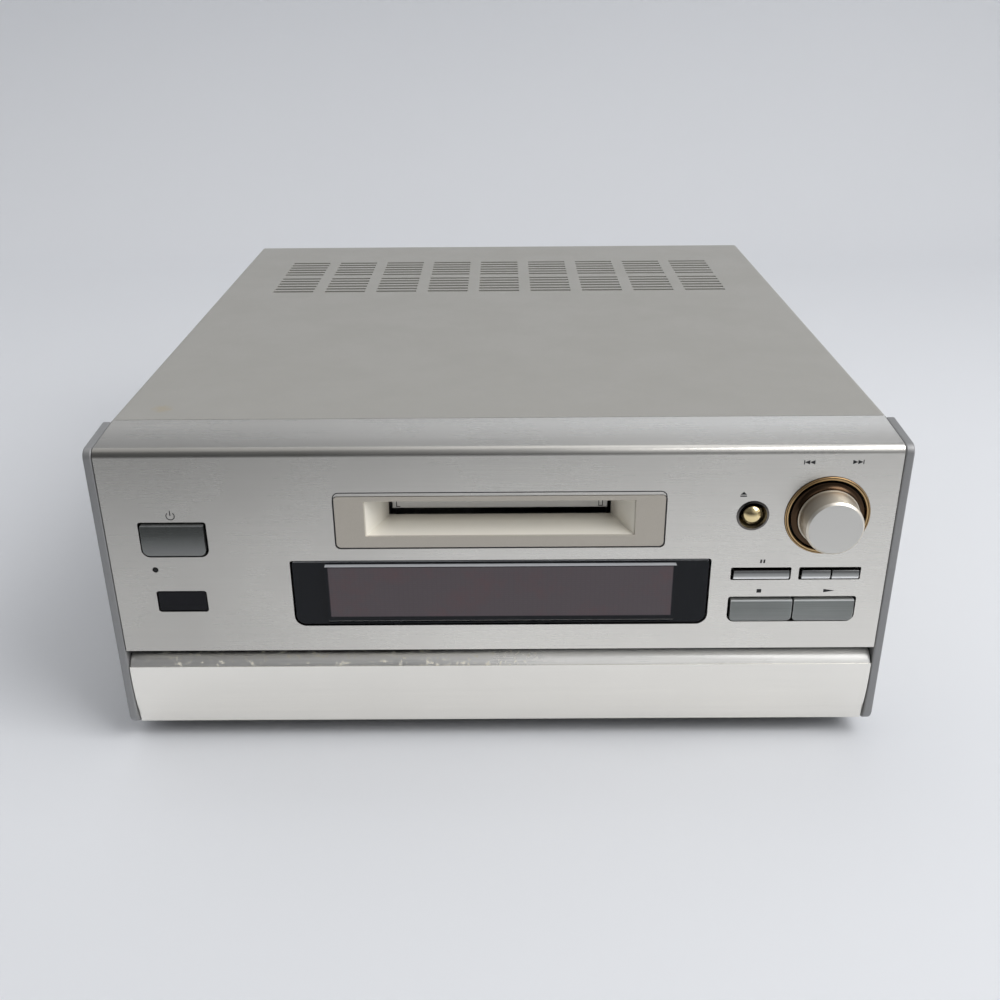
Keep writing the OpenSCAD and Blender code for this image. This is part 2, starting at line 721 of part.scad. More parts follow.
module slot_bezel() color([0.66, 0.63, 0.57]) deck() difference() {
    union() {
        upright(0, frame_back) on_face_2d(slot_x, slot_drop)
            rounded(bezel_w - 2 * seam, bezel_h - 2 * seam, 1.5, 1.5);
        upright(frame_back - 1, funnel_d) on_face_2d(slot_x, slot_drop)
            square([bezel_w - 14, bezel_h - 2], center = true);
        // ears that carry the shutter
        for (side = [-1, 1]) translate([slot_x, 0, 0]) scale_x(side)
            across(shutter_half + 0.5, shutter_half + 3.2) union() {
                translate([funnel_d - 1, shutter_z - 2.2]) square([1 + shutter_y - funnel_d, 4.4]);
                translate([shutter_y, shutter_z]) circle(2.2);
            }
    }
    // funnel: the wide mouth narrows to the throat on three sides
    intersection() {
        translate([slot_x, 0, 0]) linear_extrude(top_z) polygon([[-mouth_w / 2 - 0.5, -1 + 0.2],
            [mouth_w / 2 + 0.5, -1 + 0.2], [throat_w / 2, funnel_d], [throat_w / 2, funnel_d + 5],
            [-throat_w / 2, funnel_d + 5], [-throat_w / 2, funnel_d]]);
        across(-body_w, body_w) polygon([[-0.8, top_z - mouth_top], [funnel_d, top_z - throat_top],
            [funnel_d + 5, top_z - throat_top], [funnel_d + 5, slide_z], [funnel_d, slide_z],
            [-0.8, top_z - mouth_bottom]]);
    }
    translate([slot_x, shutter_y, shutter_z])
        bar_x(shutter_pin_r + bore_play, -shutter_half - 5, shutter_half + 5);
}

mouth_top = 20.6;
mouth_bottom = 34;
throat_top = 21.4;
shutter_half = throat_w / 2 - 1.1;
shutter_pin_r = 0.8;
shutter_y = funnel_d + 1.9;
shutter_z = top_z - 19.6;

module slot_shutter() color([0.66, 0.66, 0.64]) deck() translate([slot_x, 0, 0]) union() {
    translate([0, shutter_y, shutter_z]) bar_x(1.1, -shutter_half, shutter_half);
    translate([0, shutter_y, shutter_z]) bar_x(shutter_pin_r, -shutter_half - 2.6, shutter_half + 2.6);
    box([-shutter_half, shutter_y - shutter_t / 2, slide_z + shutter_gap],
        [shutter_half, shutter_y + shutter_t / 2, shutter_z]);
}

// Raised block of the window, whose foot slopes back, and the flange behind the frame
window_top = top_z - window_drop + window_h / 2;
window_foot = window_top - window_h;
lens_top_rim = 1.6;
lens_face_rim = 3.2;
lens_foot_rim = 0.9;
window_seat = 0.05;
window_flange = 1.2;

module display_window() color([0.05, 0.05, 0.06]) deck() {
    upright(0.2, frame_back + 0.5) on_face_2d(window_x, window_drop)
        rounded(window_w - 2 * window_play, window_h - 2 * window_play, 0.6, 3.3);
    upright(frame_back + window_seat, frame_back + 1) on_face_2d(window_x, window_drop)
        rounded(window_w + 2 * window_flange, window_h + 2 * window_flange, 1, 4);
    across(window_x - lens_w / 2, window_x + lens_w / 2) polygon([[0.3, window_top - lens_top_rim],
        [-lens_out, window_top - lens_top_rim], [-lens_out, window_foot + lens_face_rim],
        [0.3, window_foot + lens_foot_rim]]);
}

tube_h = 22;
tube_t = 5;

module display_tube() color([0.2, 0.24, 0.24]) deck() {
    // glass envelope and the row of leads to the board
    tube_z = top_z - window_drop;
    tube_half = lens_w / 2 - 2.7;
    box([window_x - tube_half, frame_back + 1.2, tube_z - tube_h / 2],
        [window_x + tube_half, frame_back + tube_t + 1.2, tube_z + tube_h / 2]);
    box([window_x - tube_half + 2, frame_back + tube_t + 1.2, tube_z - tube_h / 2 + 2],
        [window_x + tube_half - 2, board_y, tube_z - tube_h / 2 + 4.5]);
}

module ir_window() color([0.06, 0.04, 0.05]) deck() on_face(-left_x, ir_drop)
    upright(0.2, frame_back + 1) rounded(ir_w - 2 * fit_gap, ir_h - 2 * fit_gap, 0.7, 0.7);

module standby_led() color([0.35, 0.05, 0.04]) deck() on_face(-led_x, led_drop) {
    bar_y(led_r, 0.1, 4.5);
    bar_y(2, 4.5, board_y);
}

// Ring with a bevelled inner edge and a fine groove near its outer edge
ring_proud = 0.45;
groove_in = 0.55;
groove_half = 0.13;

module jog_ring() color([0.80, 0.66, 0.36]) deck() on_face(jog_x, jog_drop) rotate([90, 0, 0])
    rotate_extrude() polygon([[ring_r - ring_t, -panel_t - 1.6], [ring_r - ring_t, ring_proud - 0.4],
        [ring_r - ring_t + 0.3, ring_proud], [ring_r - groove_in - groove_half, ring_proud],
        [ring_r - groove_in, ring_proud - 0.2], [ring_r - groove_in + groove_half, ring_proud],
        [ring_r - 0.2, ring_proud], [ring_r, ring_proud - 0.2], [ring_r, -panel_t - 1.6]]);

jog_shaft_r = 3;
jog_bore_end = -4.5;

jog_collar_r = jog_r + jog_taper;
jog_lip = 0.25;
jog_lip_y = 2.2;
jog_flare_end = 0.35;

// Hollow flare from the collar's lip out to the foot, as (radius, distance from the panel's face)
jog_flare = [for (k = [0:6]) let(a = 15 * k) [jog_foot_r - (jog_foot_r - jog_collar_r - jog_lip) * cos(a),
    jog_lip_y - jog_lip - (jog_lip_y - jog_lip - jog_flare_end) * sin(a)]];

module jog_knob() color([0.78, 0.75, 0.69]) deck() on_face(jog_x, jog_drop) rotate([90, 0, 0])
    rotate_extrude() polygon(concat([[0, 4.5], [0, jog_out], [jog_r - 0.7, jog_out], [jog_r, jog_out - 0.7],
        [jog_collar_r, jog_lip_y], [jog_collar_r + jog_lip, jog_lip_y]], jog_flare,
        [[jog_foot_r, -1.2], [jog_foot_r - 1.4, -1.2], [jog_foot_r - 1.8, -0.4], [6.5, 0.2], [6.2, -2],
        [jog_shaft_r, -2], [jog_shaft_r, 4.5]]));

module jog_shaft() color([0.7, 0.7, 0.7]) deck() on_face(jog_x, jog_drop)
    bar_y(jog_shaft_r, jog_bore_end, encoder_y + 1.7);

encoder_y = 11.6;

module jog_plunger() color([0.85, 0.84, 0.8]) deck() on_face(jog_x, jog_drop)
    bar_y(2.2, encoder_y + 2, encoder_y + 4.4);

module jog_encoder() color([0.35, 0.36, 0.36]) deck() on_face(jog_x, jog_drop) difference() {
    union() {
        upright(encoder_y, board_y) square([14, 14], center = true);
        bar_y(4.6, panel_t + 1, encoder_y + 0.5);
    }
    bar_y(jog_shaft_r + bore_play, panel_t, encoder_y + 3);
    bar_y(3.4, encoder_y + 1, encoder_y + 4.4 + press + 0.3);
}

module eject_bezel() color([0.3, 0.29, 0.28]) deck() on_face(eject_x, eject_drop) rotate([90, 0, 0])
    rotate_extrude() polygon([[eject_r + 0.25, -frame_back], [eject_r + 0.25, -1.6],
        [eject_bezel_r - 0.7, 0.3], [eject_bezel_r, 0.1], [eject_bezel_r, -frame_back]]);

module eject_button() color([0.78, 0.62, 0.3]) deck() on_face(eject_x, eject_drop) union() {
    intersection() {
        bar_y(eject_r, -2, cap_back);
        translate([0, eject_dome - cap_out, 0]) sphere(r = eject_dome);
    }
    bar_y(eject_r, eject_dome - cap_out, cap_back);
    bar_y(eject_r + cap_rim, cap_back, cap_back + cap_flange_t);
    bar_y(stem_r, cap_back, stem_end);
}

eject_dome = 4.2;

// Push button: crowned cap in its opening, rim behind the frame, stem to its switch
module push_button(x0, x1, drop, h, r_top, r_bottom, crown_r, gap0 = cap_gap, gap1 = cap_gap) {
    w = x1 - x0 - gap0 - gap1;
    mid = (x0 + gap0 + x1 - gap1) / 2;
    deck() on_face(mid, drop) union() {
        intersection() {
            upright(-cap_out, cap_back) rounded(w, h - 2 * cap_gap, r_top, r_bottom);
            union() {
                translate([0, crown_r - cap_out, 0]) bar_x(crown_r, -w, w, $fn = 256);
                box([-w, crown_r / 2 - cap_out, -h], [w, cap_back + 1, h]);
            }
        }
        upright(cap_back, cap_back + cap_flange_t) square([w, h + 2 * cap_rim], center = true);
        bar_y(stem_r, cap_back, stem_end);
    }
}

module power_button() color([0.55, 0.56, 0.53]) push_button(-left_x - power_w / 2, -left_x + power_w / 2,
    power_drop, power_h, 0.6, 2.3, wide_crown_r);

module pause_button() color([0.72, 0.72, 0.7])
    push_button(pause_span[0], pause_span[1], narrow_drop, narrow_h, 0.3, 0.3, narrow_crown_r);

module display_button() color([0.72, 0.72, 0.7])
    push_button(mode_span[0], mode_span[1], narrow_drop, narrow_h, 0.3, 0.3, narrow_crown_r,
        gap1 = split_gap);

module play_mode_button() color([0.72, 0.72, 0.7])
    push_button(mode_span[1], mode_span[2], narrow_drop, narrow_h, 0.3, 0.3, narrow_crown_r,
        gap0 = split_gap);

module stop_button() color([0.52, 0.53, 0.5])
    push_button(play_span[0], play_span[1], wide_drop, wide_h, 0.4, 1.6, wide_crown_r, gap1 = split_gap);

module play_button() color([0.52, 0.53, 0.5])
    push_button(play_span[1], play_span[2], wide_drop, wide_h, 0.4, 1.6, wide_crown_r, gap0 = split_gap);

// Door section: flat above, curving back towards its lower edge, less an inset
module door_skin(inset) {
    intersection() {
        translate([inset, door_bottom - 1]) square([40, door_h + 1]);
        union() {
            translate([door_curve_r, curve_start]) circle(r = door_curve_r - inset, $fn = 256);
            translate([0, curve_start]) square([40, 40]);
        }
    }
}

// Depth of the door's inner face at a height
function skin_back(z) = door_t + door_curve_r - sqrt(pow(door_curve_r, 2) - pow(max(0, curve_start - z), 2));

ear_h = 9;

module drop_door() color([0.74, 0.73, 0.7]) deck() difference() {
    union() {
        across(-panel_half, panel_half) difference() {
            intersection() {
                door_skin(0);
                translate([-1, door_bottom]) square([ledge_d + 1, door_h]);
            }
            intersection() {
                door_skin(door_t);
                translate([0, door_bottom - 1]) square([40, door_h + 1 - ledge_t]);
            }
        }
        // ears that turn on the hinge pins
        for (side = [-1, 1]) scale_x(side) across(ear_in, ear_out) union() {
            polygon([[skin_back(hinge_z - 1) - 0.8, hinge_z - 1],
                [skin_back(hinge_z + ear_h) - 0.3, hinge_z + ear_h],
                [hinge_y + 1.4, hinge_z + 2.4], [hinge_y, hinge_z - 2.6]]);
            translate([hinge_y, hinge_z]) circle(2.8);
        }
    }
    for (side = [-1, 1]) scale_x(side) translate([0, hinge_y, hinge_z])
        bar_x(hinge_r + bore_play, ear_in - 1, ear_out + 1);
    // rounded rear corners of the ledge
    for (side = [-1, 1]) scale_x(side) translate([0, 0, door_top - ledge_t - 0.5])
        linear_extrude(ledge_t + 1) difference() {
            translate([panel_half - 3, ledge_d - 3]) square([4, 4]);
            translate([panel_half - 3, ledge_d - 3]) circle(3);
        }
}

module control_panel() color([0.55, 0.55, 0.54]) deck() difference() {
    box([-inner_half + frame_wall, control_y, foot_h + sill_t],
        [inner_half - frame_wall, control_y + control_t, shelf_z - shelf_t]);
    for (x = small_x) on_face(x, control_drop) upright(control_y - 1, control_y + control_t + 1)
        rounded(small_w, small_h, 0.6, 0.6);
    for (x = [-phones_level_x, record_level_x]) on_face(x, control_drop)
        bar_y(pot_r + 0.2, control_y - 1, control_y + control_t + 1);
    on_face(-phones_x, control_drop) bar_y(phones_nose_r + 0.1, control_y - 1, control_y + control_t + 1);
    on_face(-timer_x, control_drop) upright(control_y - 1, control_y + control_t + 1)
        square([2 * timer_travel + timer_w + 1, timer_h + 1], center = true);
}

pot_r = 3.4;
pot_shaft_r = 2.5;
phones_nose_r = 5;
timer_w = 5;
timer_h = 3.4;

// Small button behind the door, with its rim behind the control panel
module small_button(x) deck() on_face(x, control_drop) union() {
    upright(control_y - 1.2, control_y + control_t + 0.3)
        rounded(small_w - 2 * fit_gap, small_h - 2 * fit_gap, 0.4, 0.4);
    upright(control_y + control_t + 0.3, control_y + control_t + 1.3)
        square([small_w + 1.6, small_h + 1.6], center = true);
    bar_y(stem_r, control_y + control_t + 0.3, small_stem_end);
}

small_switch = 3;
small_stem_end = control_board_y - small_switch - press - press_play;

module record_button() color([0.6, 0.2, 0.16]) small_button(small_x[0]);
module input_button() color([0.7, 0.7, 0.68]) small_button(small_x[1]);
module edit_button() color([0.7, 0.7, 0.68]) small_button(small_x[2]);
module yes_button() color([0.7, 0.7, 0.68]) small_button(small_x[3]);

// Level knob with a grooved grip and a pointer notch, pushed on its potentiometer's shaft
module level_knob(x) deck() on_face(x, control_drop) difference() {
    union() {
        bar_y(level_r, control_y - level_out + 0.6, control_y - 0.5);
        bar_y(level_r - 0.6, control_y - level_out, control_y - 0.5);
        bar_y(pot_shaft_r, control_y - 1, control_board_y - 0.6);
    }
    for (k = [0:level_grooves - 1]) rotate([0, (k + 0.5) * 360 / level_grooves, 0])
        translate([0, 0, level_r + 0.15]) rotate([90, 0, 0]) translate([0, 0, 1.6 - control_y])
            cylinder(r = 0.45, h = level_out, $fn = 16);
    translate([-0.4, control_y - level_out - 1, 2]) cube([0.8, 1.6, level_r]);
}

module record_level_knob() color([0.7, 0.69, 0.66]) level_knob(record_level_x);
module phones_level_knob() color([0.7, 0.69, 0.66]) level_knob(-phones_level_x);

module timer_switch() color([0.12, 0.12, 0.12]) deck() on_face(-timer_x, control_drop) union() {
    upright(control_y - 3, control_y + control_t + 0.4) square([timer_w, timer_h], center = true);
    upright(control_y + control_t + 0.4, control_board_y - 3.3) square([timer_w - 1, 2.4], center = true);
}

module phones_jack() color([0.25, 0.25, 0.26]) deck() on_face(-phones_x, control_drop) difference() {
    union() {
        bar_y(phones_nose_r, control_y - 1.5, control_y + control_t + 0.5);
        bar_y(phones_nose_r + 1.2, control_y - 1.5, control_y);
        upright(control_y + control_t, control_y + phones_len + 1) square([12, 13], center = true);
    }
    bar_y(phones_r, control_y - 3, control_y - 1.5 + phones_len);
}

module front_boards() color([0.16, 0.34, 0.2]) deck() {
    // display and switch board, notched round the disc slot
    upright(board_y, board_y + board_t) difference() {
        translate([-inner_half + board_margin, panel_bottom + 2.5])
            square([2 * (inner_half - board_margin), panel_h - 14.5]);
        translate([slot_x - bezel_w / 2 - 3.5, top_z - slot_drop - bezel_h / 2 - 2.9])
            square([bezel_w + 7, panel_h / 2]);
    }
    // board of the controls behind the door, with the potentiometers and the slide switch
    difference() {
        union() {
            upright(control_board_y, control_board_y + board_t)
                translate([-phones_x + 11, foot_h + 4])
                    square([phones_x - 11 + inner_half - 14.5, control_board_h]);
            for (x = [-phones_level_x, record_level_x]) on_face(x, control_drop)
                upright(control_y + control_t + 0.6, control_board_y) square([11, 11], center = true);
            on_face(-timer_x, control_drop) upright(control_board_y - 3, control_board_y)
                square([18, 6], center = true);
        }
        for (x = [-phones_level_x, record_level_x]) on_face(x, control_drop)
            bar_y(pot_shaft_r + bore_play, control_y, control_board_y - 0.3);
    }
}

control_board_h = 24;

// Tact switch: square body with a round plunger, standing forward of its board
module tact_switch(y, body) {
    upright(y - body, y) square([6, 6], center = true);
    bar_y(1.7, y - body - switch_plunger * (body > 3.2 ? 1 : 0), y - body + 0.1);
}

front_switches = [[-left_x, power_drop], [eject_x, eject_drop],
    [span_mid(pause_span), narrow_drop],
    [(mode_span[0] + cap_gap + mode_span[1] - split_gap) / 2, narrow_drop],
    [(mode_span[1] + split_gap + mode_span[2] - cap_gap) / 2, narrow_drop],
    [(play_span[0] + cap_gap + play_span[1] - split_gap) / 2, wide_drop],
    [(play_span[1] + split_gap + play_span[2] - cap_gap) / 2, wide_drop]];

module tact_switches() color([0.1, 0.1, 0.1]) deck() {
    for (s = front_switches) on_face(s[0], s[1]) tact_switch(board_y, switch_body);
    for (x = small_x) on_face(x, control_drop) tact_switch(control_board_y, small_switch);
}

// Rear sockets stand on the main board
jack_block_w = 2 * jack_pitch + 2;
jack_block_d = 11;
jack_row_rise = 9;
jack_block_over = 8;
jack_low_z = main_board_z + board_t + jack_row_rise;
line_spots = [for (i = [-0.5, 0.5], k = [0, 1]) [line_x + i * jack_pitch, jack_low_z + k * jack_pitch]];
jack_bore = 1.65;
jack_neck_r = jack_r + 0.35;

module line_jacks() color([0.7, 0.7, 0.68]) deck() difference() {
    union() {
        box([line_x - jack_block_w / 2, rear_y - sheet_t - jack_block_d, main_board_z + board_t],
            [line_x + jack_block_w / 2, rear_y - sheet_t, jack_low_z + jack_pitch + jack_block_over]);
        for (c = line_spots) translate([c[0], 0, c[1]]) {
            bar_y(jack_r, rear_y - 2, rear_y + jack_len);
            bar_y(jack_neck_r, rear_y - 2, rear_y);
        }
    }
    for (c = line_spots) translate([c[0], 0, c[1]]) bar_y(jack_bore, rear_y - 6, rear_y + jack_len + 1);
}

optical_w = 10;
optical_z = main_board_z + board_t + 6.5;

module optical_jacks() color([0.1, 0.1, 0.11]) deck() for (x = optical_x) {
    box([x - optical_w / 2 - 1, rear_y - sheet_t - 13, main_board_z + board_t],
        [x + optical_w / 2 + 1, rear_y - sheet_t, optical_z + 5.5]);
    translate([x, 0, optical_z]) upright(rear_y - sheet_t - 1, rear_y + 1.2)
        rounded(9.2, 8.2, 1.2, 0.4);
}

remote_nose_r = 3.4;
remote_z = main_board_z + board_t + 6;
remote_len = 14;

module remote_jacks() color([0.09, 0.09, 0.1]) deck() for (x = remote_x) difference() {
    union() {
        box([x - 5, rear_y - sheet_t - 13, main_board_z + board_t], [x + 5, rear_y - sheet_t, remote_z + 5]);
        translate([x, 0, remote_z]) bar_y(remote_nose_r, rear_y - 2, rear_y + 1.4);
    }
    translate([x, 0, remote_z]) bar_y(remote_r, rear_y + 1.4 - remote_len, rear_y + 2.4);
}

inlet_w = 21;
inlet_h = 12;
inlet_len = 15;
inlet_pin_r = 1.2;
inlet_pin_x = 4.3;

module mains_inlet() color([0.1, 0.1, 0.1]) deck() translate([-inlet_x, 0, inlet_z]) {
    difference() {
        union() {
            upright(rear_y - inlet_len - 1, rear_y + 1) square([inlet_w, inlet_h], center = true);
            upright(rear_y, rear_y + 1.5) rounded(inlet_w + 6, inlet_h + 5, 1.5, 1.5);
        }
        upright(rear_y + 1.5 - inlet_len, rear_y + 2.5) union() {
            square([8.4, 8.4], center = true);
            for (side = [-1, 1]) translate([side * inlet_pin_x, 0]) circle(4.2);
        }
    }
    for (side = [-1, 1]) translate([side * inlet_pin_x, 0, 0])
        bar_y(inlet_pin_r, rear_y + 1 - inlet_len, rear_y - 2);
}

core_w = 54;
core_d = 28;
core_h = 45.5;
core_limb = 9;
core_foot = 7;
core_base = 1.5;
coil_out = 9;
coil_play = 0.3;
coil_half = core_w / 2 - core_limb - coil_play;

module power_transformer() color([0.45, 0.33, 0.2]) deck()
    translate([transformer_x, transformer_y, chassis_top]) {
        // bracket feet, laminated core and the winding through it
        box([-core_w / 2 - core_foot, -core_d / 2, 0], [core_w / 2 + core_foot, core_d / 2, core_base]);
        translate([0, 0, core_base]) difference() {
            box([-core_w / 2, -core_d / 2, 0], [core_w / 2, core_d / 2, core_h]);
            box([-core_w / 2 + core_limb, -core_d, core_limb],
                [core_w / 2 - core_limb, core_d, core_h - core_limb]);
        }
        box([-coil_half, -core_d / 2 - coil_out, core_base + core_limb + coil_play],
            [coil_half, core_d / 2 + coil_out, core_base + core_h - core_limb - coil_play]);
    }

power_mid = (power_board_x[0] + power_board_x[1]) / 2;
cap_spots = [[-12, 30], [-12, 56], [12, 40]];
cap_r = 9;
cap_h = 30;
small_cap_spots = [[14, 68], [14, 82]];
small_cap_r = 5;
small_cap_h = 16;
sink_back = 28;
sink_w = 48;
sink_h = 40;
fin_pitch = 5.6;
fin_d = 14;
chip_h = 2.2;
chips = [[30, 48, 14], [62, 54, 10], [96, 38, 12]];
main_cap_spots = [[20, 88], [34, 88], [84, 84], [98, 84], [112, 84]];
main_cap_r = 4;
main_cap_h = 11;

module power_board() color([0.5, 0.42, 0.24]) deck() {
    box([power_board_x[0], power_board_y[0], power_board_z],
        [power_board_x[1], power_board_y[1], power_board_z + board_t]);
    translate([power_mid, power_board_y[0], power_board_z + board_t]) {
        for (spot = cap_spots) translate(spot) cylinder(r = cap_r, h = cap_h);
        for (spot = small_cap_spots) translate(spot) cylinder(r = small_cap_r, h = small_cap_h);
    }
    // heat sink with fins
    translate([power_mid, power_board_y[1] - sink_back, power_board_z + board_t]) {
        box([-sink_w / 2, -2, 0], [sink_w / 2, 2, sink_h]);
        for (k = [-4:4]) box([k * fin_pitch - 0.8, 1.5, 0], [k * fin_pitch + 0.8, fin_d, sink_h]);
    }
}

module main_board() color([0.15, 0.36, 0.22]) deck() {
    box([main_board_x[0], main_board_y[0], main_board_z], [main_board_x[1], main_board_y[1],
        main_board_z + board_t]);
    translate([0, main_board_y[0], main_board_z + board_t]) {
        for (chip = chips) translate([chip[0], chip[1]])
            box([-chip[2], -chip[2], 0], [chip[2], chip[2], chip_h]);
        for (spot = main_cap_spots) translate(spot) cylinder(r = main_cap_r, h = main_cap_h);
    }
}

foot_x = cover_half - 31.5;
foot_y = [44, body_d - 37];
foot_r = 15;

module feet() color([0.12, 0.12, 0.12]) deck() for (x = [-foot_x, foot_x], y = foot_y)
    translate([x, y, 0]) rotate_extrude() polygon([[0, 2], [6, 2], [6, 0.6], [8.5, 0.6], [9, 0],
        [foot_r - 2.2, 0], [foot_r - 1.2, 1], [foot_r, foot_h - 1], [foot_r, foot_h], [0, foot_h]]);

module mech_bracket() color([0.64, 0.64, 0.62]) deck() difference() {
    union() {
        box([bracket_left, base_front, bracket_top - 1], [bracket_right, base_back, bracket_top]);
        for (x = [bracket_left, bracket_right - 1])
            box([x, base_front, chassis_top], [x + 1, base_back, bracket_top]);
        box([bracket_left - 12, base_front, chassis_top], [bracket_left + 1, base_back, chassis_top + 1]);
        box([bracket_right - 1, base_front, chassis_top], [bracket_right + 12, base_back, chassis_top + 1]);
    }
    translate([(bracket_left + bracket_right) / 2, (base_front + base_back) / 2, bracket_top - 2])
        linear_extrude(3) rounded(bracket_right - bracket_left - 2 * bracket_rim,
            base_back - base_front - 30, 5.9, 5.9);
    for (side = [-1, 1]) translate([bracket_left - 1, (base_front + base_back) / 2 + side * 19,
        (chassis_top + bracket_top) / 2 + 2.5]) rotate([0, 90, 0])
        linear_extrude(bracket_right - bracket_left + 2)
            rounded(bracket_top - chassis_top - 24, 22, 5.9, 5.9);
}

module mech_dampers() color([0.1, 0.1, 0.1]) deck() for (spot = damper_spots)
    translate([spot[0], spot[1], bracket_top]) rotate_extrude()
        polygon([[0, 0], [4.2, 0], [4.2, 1.6], [3, 2.4], [3, damper_h - 2.4], [4.2, damper_h - 1.6],
            [4.2, damper_h], [0, damper_h]]);

load_gear_y = spindle_y - 2;
load_gear_z = rack_z - load_r;
pinion_y = load_gear_y - load_r - pinion_r;
motor_face = -wall_out - 3.3;

module mech_frame() color([0.68, 0.69, 0.68]) deck() difference() {
    union() {
        box([-wall_out, base_front, base_z], [base_right, base_back, base_top]);
        for (side = [-1, 1]) scale_x(side)
            box([wall_in, wall_front, base_z], [wall_out, wall_back, slide_z + wall_h]);
        // guide studs of the loading slider
        for (side = [-1, 1]) scale_x(side) translate([0, spindle_y + 2, slide_z + 1.2]) {
            bar_x(1.5, wall_in, slider_out + 0.5);
            bar_x(2.4, slider_out + 0.3, slider_out + 1.1);
        }
        // stud of the loading gear and the motor's plate
        translate([0, load_gear_y, load_gear_z]) bar_x(1.5, -wall_out - 5.2, -wall_in);
        translate([0, load_gear_y, load_gear_z]) bar_x(3, -wall_out - 0.15, -wall_in);
        box([motor_face - 1.2, pinion_y - 9, base_z], [-wall_in, pinion_y - 5, base_top]);
        box([motor_face - 1.2, pinion_y - 9, base_z], [motor_face, pinion_y + 3, load_gear_z + 7]);
        // stud of the sled gear
        translate([sled_gear_x, sled_gear_y, base_z]) cylinder(r = 1, h = 6.8);
        // rails of the sled in their end blocks
        for (y = rail_y) {
            translate([0, y, rail_z]) bar_x(rail_r, -12, base_right - 2);
            for (x = [-13, base_right - 4])
                box([x, y - 2.5, base_top - 0.5], [x + 3, y + 2.5, rail_z + 2.2]);
        }
    }
    // upright slots that guide the holder's pins
    for (y = pin_y) across(-wall_out - 1, wall_out + 1)
        slot_between([y, pin_z - load_drop], [y, pin_z], pin_r + slot_play);
    // window for the sled and its head post in the right wall
    box([wall_in - 1, spindle_y - sled_half - 1, base_top],
        [wall_out + 1, spindle_y + sled_half + 1.8, sled_high + 1]);
    translate([0, spindle_y, base_z - 1]) cylinder(r = 5, h = 4);
    translate([0, pinion_y, load_gear_z]) bar_x(2.2, motor_face - 2, motor_face + 1);
}

module cartridge_holder() color([0.74, 0.74, 0.72]) deck() difference() {
    union() {
        for (side = [-1, 1]) scale_x(side) {
            box([holder_half - 6.5, holder_front, slide_z - holder_t], [holder_half, holder_back, slide_z]);
            box([holder_half, holder_front, slide_z - holder_t],
                [holder_half + holder_t, holder_back, slide_z + holder_inner]);
            for (y = pin_y) translate([0, y, pin_z]) bar_x(pin_r, holder_half, pin_end);
        }
        box([-holder_half - holder_t, holder_front, slide_z + holder_inner],
            [holder_half + holder_t, holder_back, slide_z + holder_inner + holder_t]);
        box([-holder_half, holder_back - holder_t, slide_z + 1],
            [holder_half, holder_back, slide_z + holder_inner]);
    }
    // opening for the magnetic head, and two round ones over the disc
    box([8.5, spindle_y - 8, slide_z + holder_inner - 1], [holder_half - 1, spindle_y + 8, slide_z + 8]);
    translate([-16, spindle_y, slide_z + holder_inner - 1]) cylinder(r = 11, h = 3);
}

module loading_slider() color([0.86, 0.85, 0.8]) deck() {
    low = rack_z + 1.25 * load_module;
    difference() {
        union() {
            for (side = [-1, 1]) scale_x(side) across(slider_in, slider_out) union() {
                translate([slider_front, low]) square([slider_back - slider_front, slide_z + 6.7 - low]);
                translate([slider_back - 3, slide_z - 8.8]) square([3, 12]);
            }
            box([-slider_out, slider_back - 3, slide_z - 8.8], [slider_out, slider_back, slide_z - 5.3]);
            across(-slider_out, -slider_in) translate([load_gear_y, rack_z])
                rack_teeth(load_module, -6, 1);
        }
        // slanted slots lower the holder as the slider runs back
        for (y = pin_y) across(-slider_out - 1, slider_out + 1)
            slot_between([y - load_travel, pin_z - load_drop], [y, pin_z], pin_r + slot_play);
        across(-slider_out - 1, slider_out + 1)
            slot_between([spindle_y + 2 - load_travel, slide_z + 1.2], [spindle_y + 2, slide_z + 1.2],
                1.5 + slot_play);
    }
}

module loading_gear() color([0.9, 0.9, 0.86]) deck() translate([0, load_gear_y, load_gear_z]) difference() {
    union() {
        across(-slider_out - 0.6, -slider_in) polygon(gear_points(load_module, gear_teeth));
        bar_x(3, -slider_out - 3, -slider_out + 0.5);
    }
    bar_x(1.5 + bore_play, -slider_out - 4, 0);
}

module loading_motor() color([0.6, 0.6, 0.6]) deck() translate([0, pinion_y, load_gear_z]) difference() {
    union() {
        bar_x(8, motor_face - 21, motor_face - 1.2);
        bar_x(2.1, motor_face - 2, motor_face - 0.2);
    }
    bar_x(1 + bore_play, motor_face - 8, motor_face + 1);
}

module motor_pinion() color([0.8, 0.7, 0.4]) deck() translate([0, pinion_y, load_gear_z]) union() {
    across(-slider_out - 0.6, -slider_in) rotate(180 / pinion_teeth)
        polygon(gear_points(load_module, pinion_teeth));
    bar_x(1, motor_face - 6, -slider_in);
}

turn_top = slide_z - 5.8;

module spindle_motor() color([0.5, 0.5, 0.5]) deck() translate([0, spindle_y, 0]) difference() {
    translate([0, 0, base_top]) cylinder(r = 8.4, h = 6.4);
    translate([0, 0, base_top - 1]) cylinder(r = 1 + bore_play, h = 9);
}

module turntable() color([0.82, 0.82, 0.8]) deck() translate([0, spindle_y, 0]) rotate_extrude()
    polygon([[0, base_top + 0.4], [1, base_top + 0.4], [1, base_top + 6.8], [7.8, base_top + 6.8],
        [7.8, turn_top], [5, turn_top], [4.6, turn_top + 1.2], [2, turn_top + 2.6], [0, turn_top + 2.6]]);

